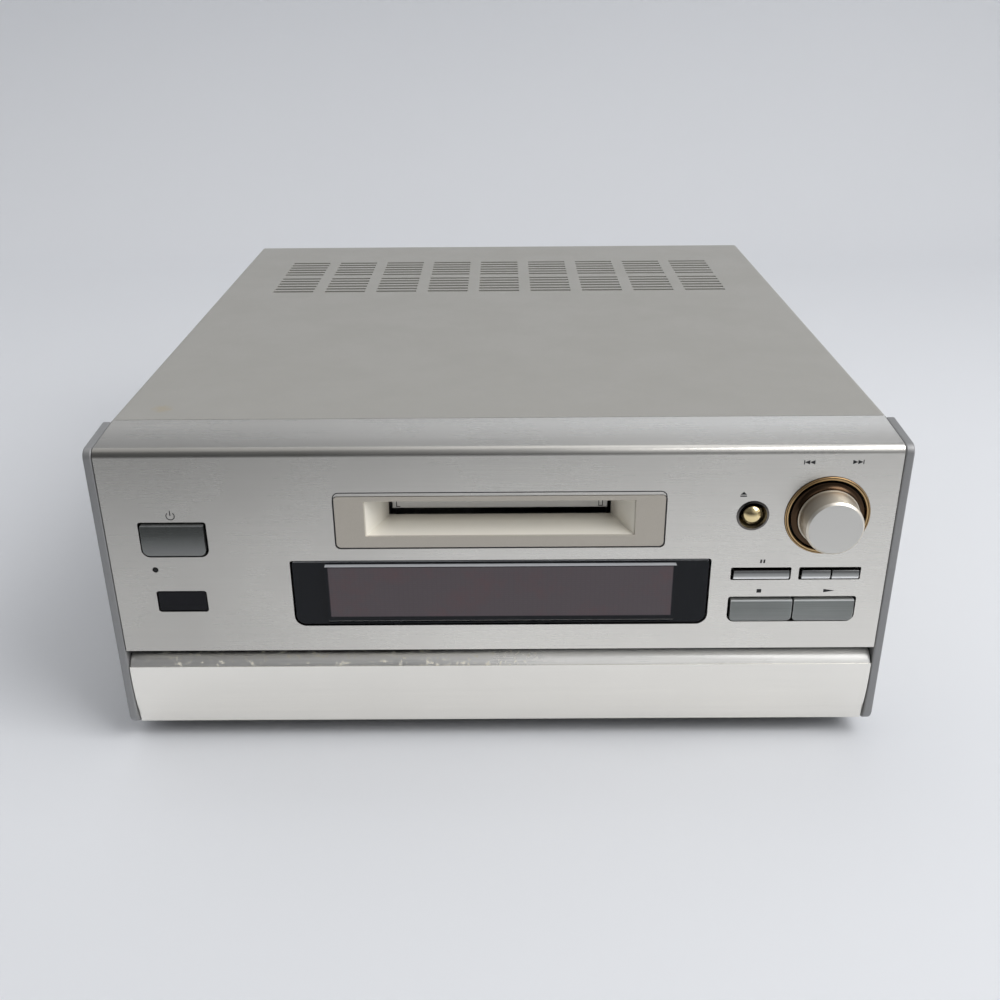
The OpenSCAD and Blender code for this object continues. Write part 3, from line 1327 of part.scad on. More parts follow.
module pickup_sled() color([0.3, 0.3, 0.32]) deck() difference() {
    union() {
        box([sled_left, spindle_y - sled_half, sled_low], [sled_right, spindle_y + sled_half, sled_high]);
        translate([lens_x, spindle_y, sled_high - 0.5]) cylinder(r = 3, h = 1.3);
        translate([sled_gear_x, sled_rack_y, sled_low]) linear_extrude(3) mirror([0, 1])
            rack_teeth(sled_module, -12, 2);
        box([sled_right - 1, spindle_y - post_half - 1, sled_low],
            [post_x + post_t, spindle_y + post_half + 1, sled_low + 3]);
        box([post_x, spindle_y - post_half, sled_low], [post_x + post_t, spindle_y + post_half, arm_z - 2]);
        for (side = [-1, 1]) translate([0, spindle_y + side * (post_half - lug_t / 2), arm_z])
            box([post_x, -lug_t / 2, -3], [post_x + post_t, lug_t / 2, post_t / 2]);
    }
    for (y = rail_y) translate([0, y, rail_z]) bar_x(rail_r + bore_play, sled_left - 1, sled_right + 1);
    translate([arm_x, 0, arm_z]) bar_y(arm_pin_r + bore_play, base_front, base_back);
}

module sled_gear() color([0.9, 0.9, 0.86]) deck()
    translate([sled_gear_x, sled_gear_y, sled_low]) linear_extrude(3) difference() {
        polygon(gear_points(sled_module, gear_teeth));
        circle(1 + bore_play);
    }

module head_arm() color([0.72, 0.73, 0.74]) deck() translate([0, spindle_y, arm_z]) union() {
    translate([arm_x, 0, 0]) bar_y(arm_hub_r, lug_t + 0.3 - post_half, post_half - lug_t - 0.3);
    translate([arm_x, 0, 0]) bar_y(arm_pin_r, -post_half, post_half);
    box([lens_x - head_half, -arm_half, -arm_t - 0.1], [arm_x, arm_half, -0.1]);
    box([lens_x - head_half, -head_half, -head_h - 0.5], [lens_x + head_half, head_half, -0.5]);
}

bottom_chassis();
top_cover();
rear_panel();
front_frame();
front_panel();
left_cheek();
right_cheek();
slot_bezel();
slot_shutter();
display_window();
display_tube();
ir_window();
standby_led();
jog_ring();
jog_knob();
jog_shaft();
jog_plunger();
jog_encoder();
eject_bezel();
eject_button();
power_button();
pause_button();
display_button();
play_mode_button();
stop_button();
play_button();
drop_door();
control_panel();
record_button();
input_button();
edit_button();
yes_button();
record_level_knob();
phones_level_knob();
timer_switch();
phones_jack();
front_boards();
tact_switches();
line_jacks();
optical_jacks();
remote_jacks();
mains_inlet();
power_transformer();
power_board();
main_board();
feet();
cover_screws();
mech_bracket();
mech_dampers();
mech_frame();
cartridge_holder();
loading_slider();
loading_gear();
loading_motor();
motor_pinion();
spindle_motor();
turntable();
pickup_sled();
sled_gear();
head_arm();
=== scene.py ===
"""Looks of the minidisc deck: finishes, rounded edges, printed symbols and small trim."""
import json
import math

import bmesh
import bpy
from mathutils import Matrix, Vector

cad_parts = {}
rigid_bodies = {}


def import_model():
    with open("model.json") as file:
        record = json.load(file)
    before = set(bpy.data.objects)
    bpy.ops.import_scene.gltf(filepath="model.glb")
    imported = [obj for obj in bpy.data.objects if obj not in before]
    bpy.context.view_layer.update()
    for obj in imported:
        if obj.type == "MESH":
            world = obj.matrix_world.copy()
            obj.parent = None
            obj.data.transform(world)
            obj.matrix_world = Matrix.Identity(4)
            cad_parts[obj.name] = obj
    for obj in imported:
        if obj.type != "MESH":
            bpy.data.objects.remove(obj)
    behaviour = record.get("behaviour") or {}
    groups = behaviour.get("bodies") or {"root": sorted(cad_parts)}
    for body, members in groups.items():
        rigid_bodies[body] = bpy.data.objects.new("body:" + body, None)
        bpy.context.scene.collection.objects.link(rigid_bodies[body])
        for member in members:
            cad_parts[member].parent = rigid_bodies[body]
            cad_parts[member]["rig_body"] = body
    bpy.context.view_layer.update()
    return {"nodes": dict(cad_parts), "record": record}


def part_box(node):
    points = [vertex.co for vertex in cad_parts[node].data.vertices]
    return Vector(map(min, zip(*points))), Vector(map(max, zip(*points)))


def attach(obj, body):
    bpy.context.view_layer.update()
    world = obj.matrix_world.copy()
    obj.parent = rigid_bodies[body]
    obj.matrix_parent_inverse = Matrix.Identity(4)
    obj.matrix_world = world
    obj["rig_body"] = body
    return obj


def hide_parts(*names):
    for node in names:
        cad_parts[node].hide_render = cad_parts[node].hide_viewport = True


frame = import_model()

MM = 0.001
DUST = (0.55, 0.53, 0.50)
NODES = frame["nodes"]
SLOT_OF = {row["node"]: row["material_slot"] for row in frame["record"]["subparts"]}
SOCKETS = {row["name"]: Vector(row["pos_m"]) for row in frame["record"]["mounts"]}

# Planes of the deck, in metres
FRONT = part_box("front_panel")[0].y
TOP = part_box("top_cover")[1].z
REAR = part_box("rear_panel")[1].y

bl_info = {
    "name": "Minidisc deck",
    "version": (1, 0, 0),
    "blender": (4, 5, 0),
    "location": "3D View > Sidebar > Deck",
    "description": "Finishes, rounded edges and trim of a minidisc deck",
    "category": "Object",
}


# ---------------------------------------------------------------- settings

def colour(name, description, value):
    """A colour setting, written as linear red, green and blue."""
    return bpy.props.FloatVectorProperty(
        name=name, description=description, default=value, size=3, subtype="COLOR", min=0.0, max=1.0)


def length(name, description, value):
    """A length setting in metres."""
    return bpy.props.FloatProperty(
        name=name, description=description, default=value, min=0.0, unit="LENGTH", precision=5)


def factor(name, description, value, top=1.0):
    """A plain number setting."""
    return bpy.props.FloatProperty(
        name=name, description=description, default=value, min=0.0, max=top, subtype="FACTOR")


class StageSettings(bpy.types.PropertyGroup):
    """Floor, backdrop, lamps and camera."""
    floor: colour("Floor", "Colour of the pale floor", (0.780, 0.792, 0.815))
    sky: colour("Surroundings", "Colour of the light from all sides", (0.95, 0.965, 1.0))
    sky_left: factor("Surroundings on the left", "Strength of the light from the left", 0.15, 4.0)
    sky_right: factor("Surroundings on the right", "Strength of the light from the right", 0.90, 4.0)
    key: bpy.props.FloatProperty(name="Window lamp", description="Power of the large lamp at the front right",
                                 default=9.3, min=0.0, unit="POWER")
    fill: bpy.props.FloatProperty(name="Overhead lamp", description="Power of the lamp above",
                                  default=8.0, min=0.0, unit="POWER")
    lens: bpy.props.FloatProperty(name="Lens", description="Focal length of the camera on a 36 mm sensor",
                                  default=39.528, min=1.0, unit="CAMERA")


class CabinetSettings(bpy.types.PropertyGroup):
    """Cover, cheeks, rear panel and feet."""
    cover: colour("Cover", "Paint of the cover and rear panel", (0.392, 0.380, 0.348))
    cheek: colour("Cheeks", "Paint of the side cheeks", (0.300, 0.300, 0.301))
    sheet: colour("Chassis", "Zinc plated sheet of the chassis", (0.52, 0.53, 0.52))
    rubber: colour("Rubber", "Feet and dampers", (0.022, 0.022, 0.022))
    grain: length("Paint grain", "Size of the grain in the paint", 0.0004)
    edge: length("Edge rounding", "Rounding of the sheet metal's edges", 0.0003)


class FrontSettings(bpy.types.PropertyGroup):
    """Front panel, door, slot and display window."""
    panel: colour("Panel", "Anodised aluminium of the panel and the door", (0.760, 0.738, 0.690))
    bezel: colour("Slot bezel", "Moulding round the disc slot", (0.520, 0.480, 0.416))
    window: colour("Window", "Tinted acrylic of the display window", (0.0040, 0.0052, 0.0075))
    pane: colour("Display", "Unlit display behind the raised block", (0.104, 0.086, 0.093))
    ink: colour("Print", "Printed symbols", (0.012, 0.012, 0.014))
    streak: length("Brush width", "Width of one brushed line", 0.00022)
    edge: length("Edge rounding", "Rounding of the panel's edges", 0.0003)


class ControlSettings(bpy.types.PropertyGroup):
    """Buttons, knobs and what is behind the door."""
    button: colour("Large buttons", "Silver paint of power, stop and play", (0.240, 0.252, 0.242))
    bar: colour("Narrow buttons", "Bright plating of the narrow buttons", (0.50, 0.50, 0.49))
    knob: colour("Jog knob", "Turned aluminium of the jog knob's side", (0.80, 0.745, 0.650))
    cap: colour("Jog knob's face", "Satin face of the jog knob", (0.72, 0.705, 0.668))
    gold: colour("Gold", "Gold plate of the eject button", (0.88, 0.72, 0.40))
    bronze: colour("Ring", "Brownish plate of the knob's ring", (0.56, 0.38, 0.19))
    small: colour("Small buttons", "Satin paint of the small buttons", (0.43, 0.43, 0.41))
    red: colour("Record", "Moulding of the record button", (0.34, 0.035, 0.022))


# ---------------------------------------------------------------- node helpers

def put(tree, socket, value):
    """Links another node's output to a socket, or sets the socket to a plain value."""
    if isinstance(value, bpy.types.NodeSocket):
        tree.links.new(value, socket)
    else:
        socket.default_value = value


def add(tree, kind, inputs=None, **settings):
    """Adds a node, sets it up, and links or fills its inputs."""
    made = tree.nodes.new(kind)
    for key, value in settings.items():
        setattr(made, key, value)
    for key, value in (inputs or {}).items():
        put(tree, made.inputs[key], value)
    return made


def calc(tree, operation, a, b=0.0, clamp=False):
    """Result of a Math node."""
    return add(tree, "ShaderNodeMath", {0: a, 1: b}, operation=operation, use_clamp=clamp).outputs[0]


def times(tree, *masks):
    """Product of two or more masks."""
    product = masks[0]
    for mask in masks[1:]:
        product = calc(tree, "MULTIPLY", product, mask)
    return product


def span(tree, value, low, high, to_low=0.0, to_high=1.0):
    """Value mapped from one range to another, and held inside it."""
    return add(tree, "ShaderNodeMapRange", {"Value": value, "From Min": low, "From Max": high,
                                            "To Min": to_low, "To Max": to_high}).outputs["Result"]


def mix(tree, mask, a, b):
    """Colour between a and b by a mask."""
    a, b = (part if isinstance(part, bpy.types.NodeSocket) else rgba(part) for part in (a, b))
    return add(tree, "ShaderNodeMix", {0: mask, 6: a, 7: b}, data_type="RGBA", blend_type="MIX").outputs[2]


def vector(tree, operation, a, b=(0.0, 0.0, 0.0)):
    """Outputs of a Vector Math node."""
    return add(tree, "ShaderNodeVectorMath", {0: a, 1: b}, operation=operation).outputs


def parts(tree, at):
    """The x, y and z of a vector."""
    return add(tree, "ShaderNodeSeparateXYZ", {0: at}).outputs


def noise(tree, at, scale, detail, roughness=0.5):
    """Value of a noise texture."""
    return add(tree, "ShaderNodeTexNoise", {"Vector": at, "Scale": scale, "Detail": detail,
                                            "Roughness": roughness}).outputs["Fac"]


def rgba(value):
    """A colour with full opacity."""
    return (value[0], value[1], value[2], 1.0)


def toned(value, by):
    """A colour made lighter or darker by a factor."""
    return tuple(min(1.0, max(0.0, part * by)) for part in value[:3])


def shader_group(name, inputs, outputs):
    """A shader node group with named sockets: its tree, its inputs' sockets and its outputs' sockets."""
    tree = bpy.data.node_groups.new(name, "ShaderNodeTree")
    for label, kind, default in inputs:
        socket = tree.interface.new_socket(label, in_out="INPUT", socket_type="NodeSocket" + kind)
        if default is not None:
            socket.default_value = default
    for label, kind in outputs:
        tree.interface.new_socket(label, in_out="OUTPUT", socket_type="NodeSocket" + kind)
    return tree, tree.nodes.new("NodeGroupInput").outputs, tree.nodes.new("NodeGroupOutput").inputs


def make_brush_group():
    """Straight brushed lines along the x axis."""
    tree, given, result = shader_group(
        "Brushed lines", [("Vector", "Vector", None), ("Line length", "Float", 0.03),
                          ("Line width", "Float", 0.0002)],
        [("Shade", "Float"), ("Height", "Float")])
    size = add(tree, "ShaderNodeCombineXYZ", {0: given["Line length"], 1: given["Line width"],
                                              2: given["Line width"]})
    at = vector(tree, "DIVIDE", given["Vector"], size.outputs[0])[0]
    fine, broad = noise(tree, at, 1.0, 3.0, 0.65), noise(tree, at, 0.13, 2.0)
    both = calc(tree, "ADD", times(tree, fine, 0.62), times(tree, broad, 0.38))
    tree.links.new(span(tree, both, 0.3, 0.7), result["Shade"])
    tree.links.new(fine, result["Height"])
    return tree


def make_turned_group():
    """Fine rings of a lathe round an axis along y."""
    tree, given, result = shader_group(
        "Turned rings", [("Vector", "Vector", None), ("Axis", "Vector", None),
                         ("Ring width", "Float", 0.0002)],
        [("Shade", "Float"), ("Height", "Float")])
    x, y, z = parts(tree, vector(tree, "SUBTRACT", given["Vector"], given["Axis"])[0])
    radius = calc(tree, "SQRT", calc(tree, "ADD", times(tree, x, x), times(tree, z, z)))
    steps = calc(tree, "DIVIDE", calc(tree, "ADD", radius, y), given["Ring width"])
    wave = add(tree, "ShaderNodeTexNoise", {"W": steps, "Scale": 1.0, "Detail": 2.0}, noise_dimensions="1D")
    tree.links.new(span(tree, wave.outputs["Fac"], 0.3, 0.7), result["Shade"])
    tree.links.new(wave.outputs["Fac"], result["Height"])
    return tree


def make_grain_group():
    """Even grain of a textured paint or a moulding."""
    tree, given, result = shader_group(
        "Fine grain", [("Vector", "Vector", None), ("Size", "Float", 0.0004)],
        [("Shade", "Float"), ("Height", "Float")])
    at, scale = given["Vector"], calc(tree, "DIVIDE", 1.0, given["Size"])
    fine = noise(tree, at, scale, 2.0, 0.6)
    cells = add(tree, "ShaderNodeTexVoronoi", {"Vector": at, "Scale": times(tree, scale, 0.6)})
    tree.links.new(span(tree, fine, 0.3, 0.7), result["Shade"])
    height = calc(tree, "ADD", fine, times(tree, cells.outputs["Distance"], 0.4))
    tree.links.new(height, result["Height"])
    return tree


def make_smudge_group():
    """Soft uneven patches, as from handling and wiping."""
    tree, given, result = shader_group(
        "Smudges", [("Vector", "Vector", None), ("Size", "Float", 0.03), ("Seed", "Float", 0.0)],
        [("Mask", "Float")])
    scale = calc(tree, "DIVIDE", 1.0, given["Size"])
    cloud = add(tree, "ShaderNodeTexNoise", {"Vector": given["Vector"], "W": given["Seed"], "Scale": scale,
                                             "Detail": 4.0, "Roughness": 0.6}, noise_dimensions="4D")
    tree.links.new(span(tree, cloud.outputs["Fac"], 0.38, 0.64), result["Mask"])
    return tree


def make_wear_group():
    """Mask of worn edges, also used for painted edge highlights, broken up by noise."""
    tree, given, result = shader_group(
        "Edge wear", [("Vector", "Vector", None), ("Width", "Float", 0.0004), ("Patch", "Float", 0.004)],
        [("Mask", "Float")])
    round_normal = add(tree, "ShaderNodeBevel", {"Radius": given["Width"]}, samples=4).outputs[0]
    flat_normal = add(tree, "ShaderNodeNewGeometry").outputs["True Normal"]
    turn = vector(tree, "DOT_PRODUCT", round_normal, flat_normal)["Value"]
    broken = noise(tree, given["Vector"], calc(tree, "DIVIDE", 1.0, given["Patch"]), 4.0)
    mask = times(tree, span(tree, turn, 0.99, 0.86), span(tree, broken, 0.42, 0.6))
    tree.links.new(mask, result["Mask"])
    return tree


def make_dust_group():
    """Fine dust that lies on faces that look up."""
    tree, given, result = shader_group(
        "Dust", [("Vector", "Vector", None), ("Size", "Float", 0.0008)], [("Mask", "Float")])
    up = parts(tree, add(tree, "ShaderNodeNewGeometry").outputs["Normal"])[2]
    fine = noise(tree, given["Vector"], calc(tree, "DIVIDE", 1.0, given["Size"]), 5.0, 0.7)
    drift = noise(tree, given["Vector"], 24.0, 3.0)
    specks = times(tree, span(tree, fine, 0.5, 0.72), span(tree, drift, 0.35, 0.7), span(tree, up, 0.5, 0.95))
    tree.links.new(specks, result["Mask"])
    return tree


GROUPS = {}


def group(tree, name, inputs):
    """Places a shared shader group in a material."""
    return add(tree, "ShaderNodeGroup", inputs, node_tree=GROUPS[name]).outputs


# ---------------------------------------------------------------- finishes

FINISHES = {}


class Finish:
    """One material in the making: its tree, its shader, and the place on the object that patterns read."""

    def __init__(self, name):
        self.material = bpy.data.materials.new(name)
        self.material.use_nodes = True
        self.tree = self.material.node_tree
        self.shader = self.tree.nodes["Principled BSDF"]
        self.at = add(self.tree, "ShaderNodeTexCoord").outputs["Object"]
        FINISHES[name] = self

    def axes(self):
        """The x, y and z of the place, in metres."""
        return parts(self.tree, self.at)

    def feed(self, socket, value):
        """Links or fills one socket of the shader."""
        put(self.tree, self.shader.inputs[socket], value)

    def fed(self, socket):
        """What feeds a socket of the shader now."""
        links = self.shader.inputs[socket].links
        value = self.shader.inputs[socket].default_value
        return links[0].from_socket if links else value

    def blend(self, mask, base=None, roughness=None, metallic=None):
        """Lays another colour, gloss or metal over the finish by a mask."""
        if base is not None:
            self.feed("Base Color", mix(self.tree, mask, self.fed("Base Color"), base))
        for socket, value in (("Roughness", roughness), ("Metallic", metallic)):
            if value is not None:
                under = times(self.tree, self.fed(socket), calc(self.tree, "SUBTRACT", 1.0, mask))
                self.feed(socket, calc(self.tree, "ADD", under, times(self.tree, mask, value)))


def finish(name, base, roughness, metallic=0.0, pattern="grain", size=0.0004, run=0.03, tone=0.06, relief=0.2,
           smudge=0.06, wear=None, wear_width=0.0004, dust=0.0, coat=0.0, axis=(0, 0, 0), specular=0.5):
    """A finish from the shared effects: a pattern, uneven gloss, worn edges and painted edge highlights, and
    dust.
    """
    made = Finish(name)
    tree = made.tree
    if pattern == "brush":
        cut = group(tree, "brush", {"Vector": made.at, "Line length": run, "Line width": size})
    elif pattern == "turned":
        cut = group(tree, "turned", {"Vector": made.at, "Axis": axis, "Ring width": size})
    else:
        cut = group(tree, "grain", {"Vector": made.at, "Size": size})
    patches = group(tree, "smudge", {"Vector": made.at, "Size": 0.03, "Seed": len(FINISHES) * 1.7})
    shade = mix(tree, cut["Shade"], toned(base, 1 - tone), toned(base, 1 + tone))
    shade = mix(tree, times(tree, patches["Mask"], 0.5), shade, toned(base, 1 - tone * 0.8))
    if wear:
        wear_and_highlight_mask = group(tree, "wear", {"Vector": made.at, "Width": wear_width, "Patch": 0.004})
        shade = mix(tree, wear_and_highlight_mask["Mask"], shade, wear)
    if dust:
        lying = group(tree, "dust", {"Vector": made.at, "Size": 0.0008})
        shade = mix(tree, times(tree, lying["Mask"], dust), shade, DUST)
    made.feed("Base Color", shade)
    rough = calc(tree, "ADD", roughness - smudge / 2, times(tree, patches["Mask"], smudge))
    made.feed("Roughness", calc(tree, "ADD", rough, times(tree, cut["Shade"], 0.05), clamp=True))
    made.feed("Metallic", metallic)
    made.feed("Specular IOR Level", specular)
    made.feed("Coat Weight", coat)
    if coat:
        made.feed("Coat Roughness", 0.08)
    bump = add(tree, "ShaderNodeBump", {"Height": cut["Height"], "Strength": relief, "Distance": size * 0.4})
    made.feed("Normal", bump.outputs["Normal"])
    return made


def finish_cover(settings):
    """Textured paint of the cover, with a faint yellow stain near its front left corner."""
    made = finish("cover_paint", settings.cover, 0.44, metallic=0.25, size=settings.grain, tone=0.05,
                  relief=0.3, smudge=0.08, dust=0.08)
    tree = made.tree
    stain, size, fade = (-0.1200, FRONT + 0.035, TOP), 0.0045, 0.0027
    away = vector(tree, "DISTANCE", made.at, stain)["Value"]
    ragged = calc(tree, "ADD", away, times(tree, noise(tree, made.at, 420.0, 3.0), 0.006))
    made.blend(span(tree, ragged, size + fade, size, 0.0, 0.35), base=(0.42, 0.32, 0.15))


def finish_panel(settings):
    """Brushed aluminium of the front, with painted shade to the top left, on its left side and over the bend
    of its top edge, painted light at its foot and a painted highlight along its top band.
    """
    panel = settings.panel
    # Painted light: the door takes the panel's aluminium made lighter, for the brighter floor its face
    # reflects
    finish("door_aluminium", toned(panel, 1.24), 0.22, metallic=1.0, pattern="brush", size=settings.streak,
           run=0.022, tone=0.035, relief=0.14, smudge=0.04)
    made = finish("panel_aluminium", panel, 0.26, metallic=1.0, pattern="brush", size=settings.streak,
                  run=0.022, tone=0.045, relief=0.16, smudge=0.05)
    tree = made.tree
    x, _, z = made.axes()
    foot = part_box("front_panel")[0].z
    fold_foot, fold_head = TOP - 0.0045, TOP - 0.0010
    # Painted shade: darker towards the top left
    upper_painted_shade = times(tree, span(tree, z, TOP - 0.040, TOP - 0.004, 0.0, 0.22), span(tree, x, 0.080, 0.0))
    made.blend(upper_painted_shade, base=toned(panel, 0.35))
    # Painted shade: the left side darker, all but the very top
    left = times(tree, span(tree, z, TOP - 0.0003, fold_head), span(tree, x, -0.010, -0.110, 0.0, 0.46))
    made.blend(left, base=toned(panel, 0.45))
    # Painted shade over the bend of the top edge, deepest on the left
    fold_painted_shade = times(tree, span(tree, z, fold_foot, fold_foot + 0.0015),
                 span(tree, z, fold_head, fold_head - 0.0008), span(tree, x, 0.060, -0.060, 0.0, 0.62))
    made.blend(fold_painted_shade, base=toned(panel, 0.30), roughness=0.4)
    # Painted highlight along the top band, brightest on the right
    strip_painted_highlight = times(tree, span(tree, z, TOP - 0.0012, TOP - 0.0004), span(tree, x, -0.080, 0.110))
    made.blend(strip_painted_highlight, base=(1.0, 0.985, 0.94))
    # Painted light: lighter towards the panel's foot, less so at its left end
    foot_painted_light = times(tree, span(tree, z, foot + 0.0295, foot - 0.0005, 0.0, 0.30), span(tree, x, -0.090, 0.0))
    made.blend(foot_painted_light, base=toned(panel, 1.30))
    finish_rail(made)


def finish_rail(made):
    """The rail's part of the panel's metal: long lines, duller on the left, with small corroded specks."""
    tree = made.tree
    x, _, z = made.axes()
    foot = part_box("drop_door")[1].z
    head, blur = foot + 0.0056, 0.0001
    near = times(tree, span(tree, z, foot - blur, foot + blur), span(tree, z, head, head - 0.0006))
    lines = group(tree, "brush", {"Vector": made.at, "Line length": 0.06, "Line width": 0.0008})
    made.blend(near, base=mix(tree, times(tree, lines["Shade"], 0.5), (0.93, 0.92, 0.89), (0.6, 0.58, 0.54)))
    made.blend(times(tree, near, span(tree, x, 0.0, -0.06)), roughness=0.45)
    made.blend(times(tree, near, span(tree, x, -0.035, 0.020)), metallic=0.12)
    stretch = times(tree, span(tree, x, -0.130, -0.118), span(tree, x, 0.018, 0.004))
    pits = span(tree, noise(tree, made.at, 560.0, 4.0, 0.7), 0.57, 0.63)
    made.blend(times(tree, near, stretch, pits), base=(0.82, 0.78, 0.66), roughness=0.7, metallic=0.0)


def finish_window(settings):
    """Tinted acrylic: the raised block shows the unlit display, and a painted highlight on its top face."""
    made = finish("window_black", settings.window, 0.12, size=0.004, tone=0.10, relief=0.004, smudge=0.04,
                  specular=0.24)
    tree = made.tree
    x, y, z = made.axes()
    low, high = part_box("display_window")
    side, foot, head, face, fade = 0.0143, 0.0058, 0.0029, 0.0004, 0.0004
    per_metre = (300.0, 300.0, 1.0)
    pane = times(tree, span(tree, x, low.x + side, low.x + side + fade),
                 span(tree, x, high.x - side, high.x - side - fade),
                 span(tree, z, low.z + foot, low.z + foot + fade),
                 span(tree, z, high.z - head, high.z - head - fade),
                 span(tree, y, low.y + face + 0.0001, low.y + face))
    flat = add(tree, "ShaderNodeCombineXYZ", {0: x, 1: z}).outputs[0]
    cells = add(tree, "ShaderNodeTexBrick", {
        "Vector": vector(tree, "MULTIPLY", flat, per_metre)[0], "Scale": 1.0, "Mortar Size": 0.05,
        "Color1": rgba(settings.pane), "Color2": rgba(toned(settings.pane, 1.03)),
        "Mortar": rgba(toned(settings.pane, 0.97))}, offset=0.0)
    warm = span(tree, noise(tree, made.at, 48.0, 5.0, 0.75), 0.50, 0.70, 0.0, 0.5)
    made.blend(pane, base=mix(tree, warm, cells.outputs["Color"], (0.130, 0.075, 0.080)), roughness=0.2)
    # Painted highlight on the block's top face
    up = parts(tree, add(tree, "ShaderNodeNewGeometry").outputs["Normal"])[2]
    top_face_highlight = times(tree, span(tree, up, 0.6, 0.9), span(tree, z, low.z + 0.020, low.z + 0.021))
    made.blend(top_face_highlight, base=(0.46, 0.47, 0.49), roughness=0.25)


def assign(*slots):
    """Gives each finish to the CAD nodes whose slot has its name."""
    for node, slot in SLOT_OF.items():
        if slot in slots:
            mesh = NODES[node].data
            mesh.materials.clear()
            mesh.materials.append(FINISHES[slot].material)


# ---------------------------------------------------------------- mesh helpers

def mesh_of(name, work):
    """Ends a bmesh as a named mesh."""
    mesh = bpy.data.meshes.new(name)
    work.to_mesh(mesh)
    work.free()
    return mesh


def placed(name, mesh):
    """A new object in the scene."""
    made = bpy.data.objects.new(name, mesh)
    bpy.context.scene.collection.objects.link(made)
    return made


def piece(name, mesh, body, material):
    """A new visible piece that rides on a body and takes its finish from a slot."""
    made = placed(name, mesh)
    mesh.materials.clear()
    mesh.materials.append(FINISHES[material].material)
    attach(made, body)
    return made


def baked(made):
    """Applies an object's modifiers to its mesh."""
    graph = bpy.context.evaluated_depsgraph_get()
    mesh = bpy.data.meshes.new_from_object(made.evaluated_get(graph))
    made.modifiers.clear()
    made.data = mesh
    return made


def smooth_by_angle(mesh, angle=40.0):
    """Shades smooth, and keeps edges sharper than the angle hard."""
    mesh.shade_smooth()
    work = bmesh.new()
    work.from_mesh(mesh)
    limit = math.radians(angle)
    for edge in work.edges:
        edge.smooth = len(edge.link_faces) == 2 and edge.calc_face_angle(0.0) < limit
    work.to_mesh(mesh)
    work.free()


def shown(node, material=None, width=0.0, segments=2, angle=28.0, joined=True, hard=32.0, reshape=None):
    """A CAD node's shape shaded smooth, with its edges rounded by a width, shown in the node's place."""
    source = NODES[node]
    work = bmesh.new()
    work.from_mesh(source.data)
    bmesh.ops.remove_doubles(work, verts=work.verts, dist=2e-6)
    if reshape:
        for vert in work.verts:
            vert.co = reshape(vert.co)
    if width and joined:
        bmesh.ops.dissolve_limit(work, angle_limit=math.radians(0.4), verts=work.verts, edges=work.edges,
                                 delimit={"NORMAL"})
    made = placed(node + "_finished", mesh_of(node + "_finished", work))
    if width:
        rounding = made.modifiers.new("edges", "BEVEL")
        rounding.width = width
        rounding.segments = segments
        rounding.limit_method = "ANGLE"
        rounding.angle_limit = math.radians(angle)
        rounding.use_clamp_overlap = True
        baked(made)
    smooth_by_angle(made.data, hard)
    if width:
        evened = made.modifiers.new("even_shading", "WEIGHTED_NORMAL")
        evened.keep_sharp = True
        evened.weight = 100
        baked(made)
    made.data.materials.clear()
    made.data.materials.append(FINISHES[material or SLOT_OF[node]].material)
    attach(made, source["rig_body"])
    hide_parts(node)
    return made


def lathe(name, profile, centre, body, material, steps=96):
    """A turned piece from (radius, distance along y) points, round an axis along y through the centre."""
    work = bmesh.new()
    rings = []
    for radius, depth in profile:
        if radius < 1e-7:
            rings.append([work.verts.new(centre + Vector((0, depth, 0)))])
            continue
        rings.append([work.verts.new(centre + Vector((radius * math.cos(2 * math.pi * k / steps), depth,
                                                      radius * math.sin(2 * math.pi * k / steps))))
                      for k in range(steps)])
    for first, second in zip(rings, rings[1:]):
        for k in range(steps):
            corners = [first[k % len(first)], first[(k + 1) % len(first)], second[(k + 1) % len(second)],
                       second[k % len(second)]]
            corners = [c for i, c in enumerate(corners) if c not in corners[:i]]
            if len(corners) > 2:
                work.faces.new(corners)
    bmesh.ops.recalc_face_normals(work, faces=work.faces)
    mesh = mesh_of(name, work)
    smooth_by_angle(mesh, 30.0)
    return piece(name, mesh, body, material)


def flat_marks(name, shapes, lift, body="deck", depth=0.00004, material="print_ink"):
    """Printed marks on the front: thin solids from outlines of (x, drop) points in millimetres."""
    work = bmesh.new()
    for outline in shapes:
        points = [Vector((x * MM, FRONT - lift, TOP - drop * MM)) for x, drop in outline]
        front = [work.verts.new(p) for p in points]
        back = [work.verts.new(p + Vector((0, depth, 0))) for p in points]
        work.faces.new(front)
        work.faces.new(back[::-1])
        for k in range(len(points)):
            j = (k + 1) % len(points)
            work.faces.new([front[k], back[k], back[j], front[j]])
    bmesh.ops.recalc_face_normals(work, faces=work.faces)
    return piece(name, mesh_of(name, work), body, material)


def arc(cx, cy, radius, start, end, count):
    """Points on an arc, angles in degrees, drops running down."""
    turns = [math.radians(start + (end - start) * k / count) for k in range(count + 1)]
    return [(cx + radius * math.cos(a), cy - radius * math.sin(a)) for a in turns]


def band(cx, cy, outer, inner, start, end, count=16):
    """An arc with a width."""
    return arc(cx, cy, outer, start, end, count) + arc(cx, cy, inner, end, start, count)


def bar(x0, x1, drop0, drop1):
    """A filled rectangle."""
    return [(x0, drop0), (x1, drop0), (x1, drop1), (x0, drop1)]


def wedge(x0, x1, drop, half):
    """A triangle that points from x0 to x1."""
    return [(x0, drop - half), (x1, drop), (x0, drop + half)]


def centre_of(node):
    """A node's middle as (x, drop) on the front, in millimetres."""
    low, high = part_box(node)
    return (low.x + high.x) / 2 / MM, (TOP - (low.z + high.z) / 2) / MM


# ---------------------------------------------------------------- makers

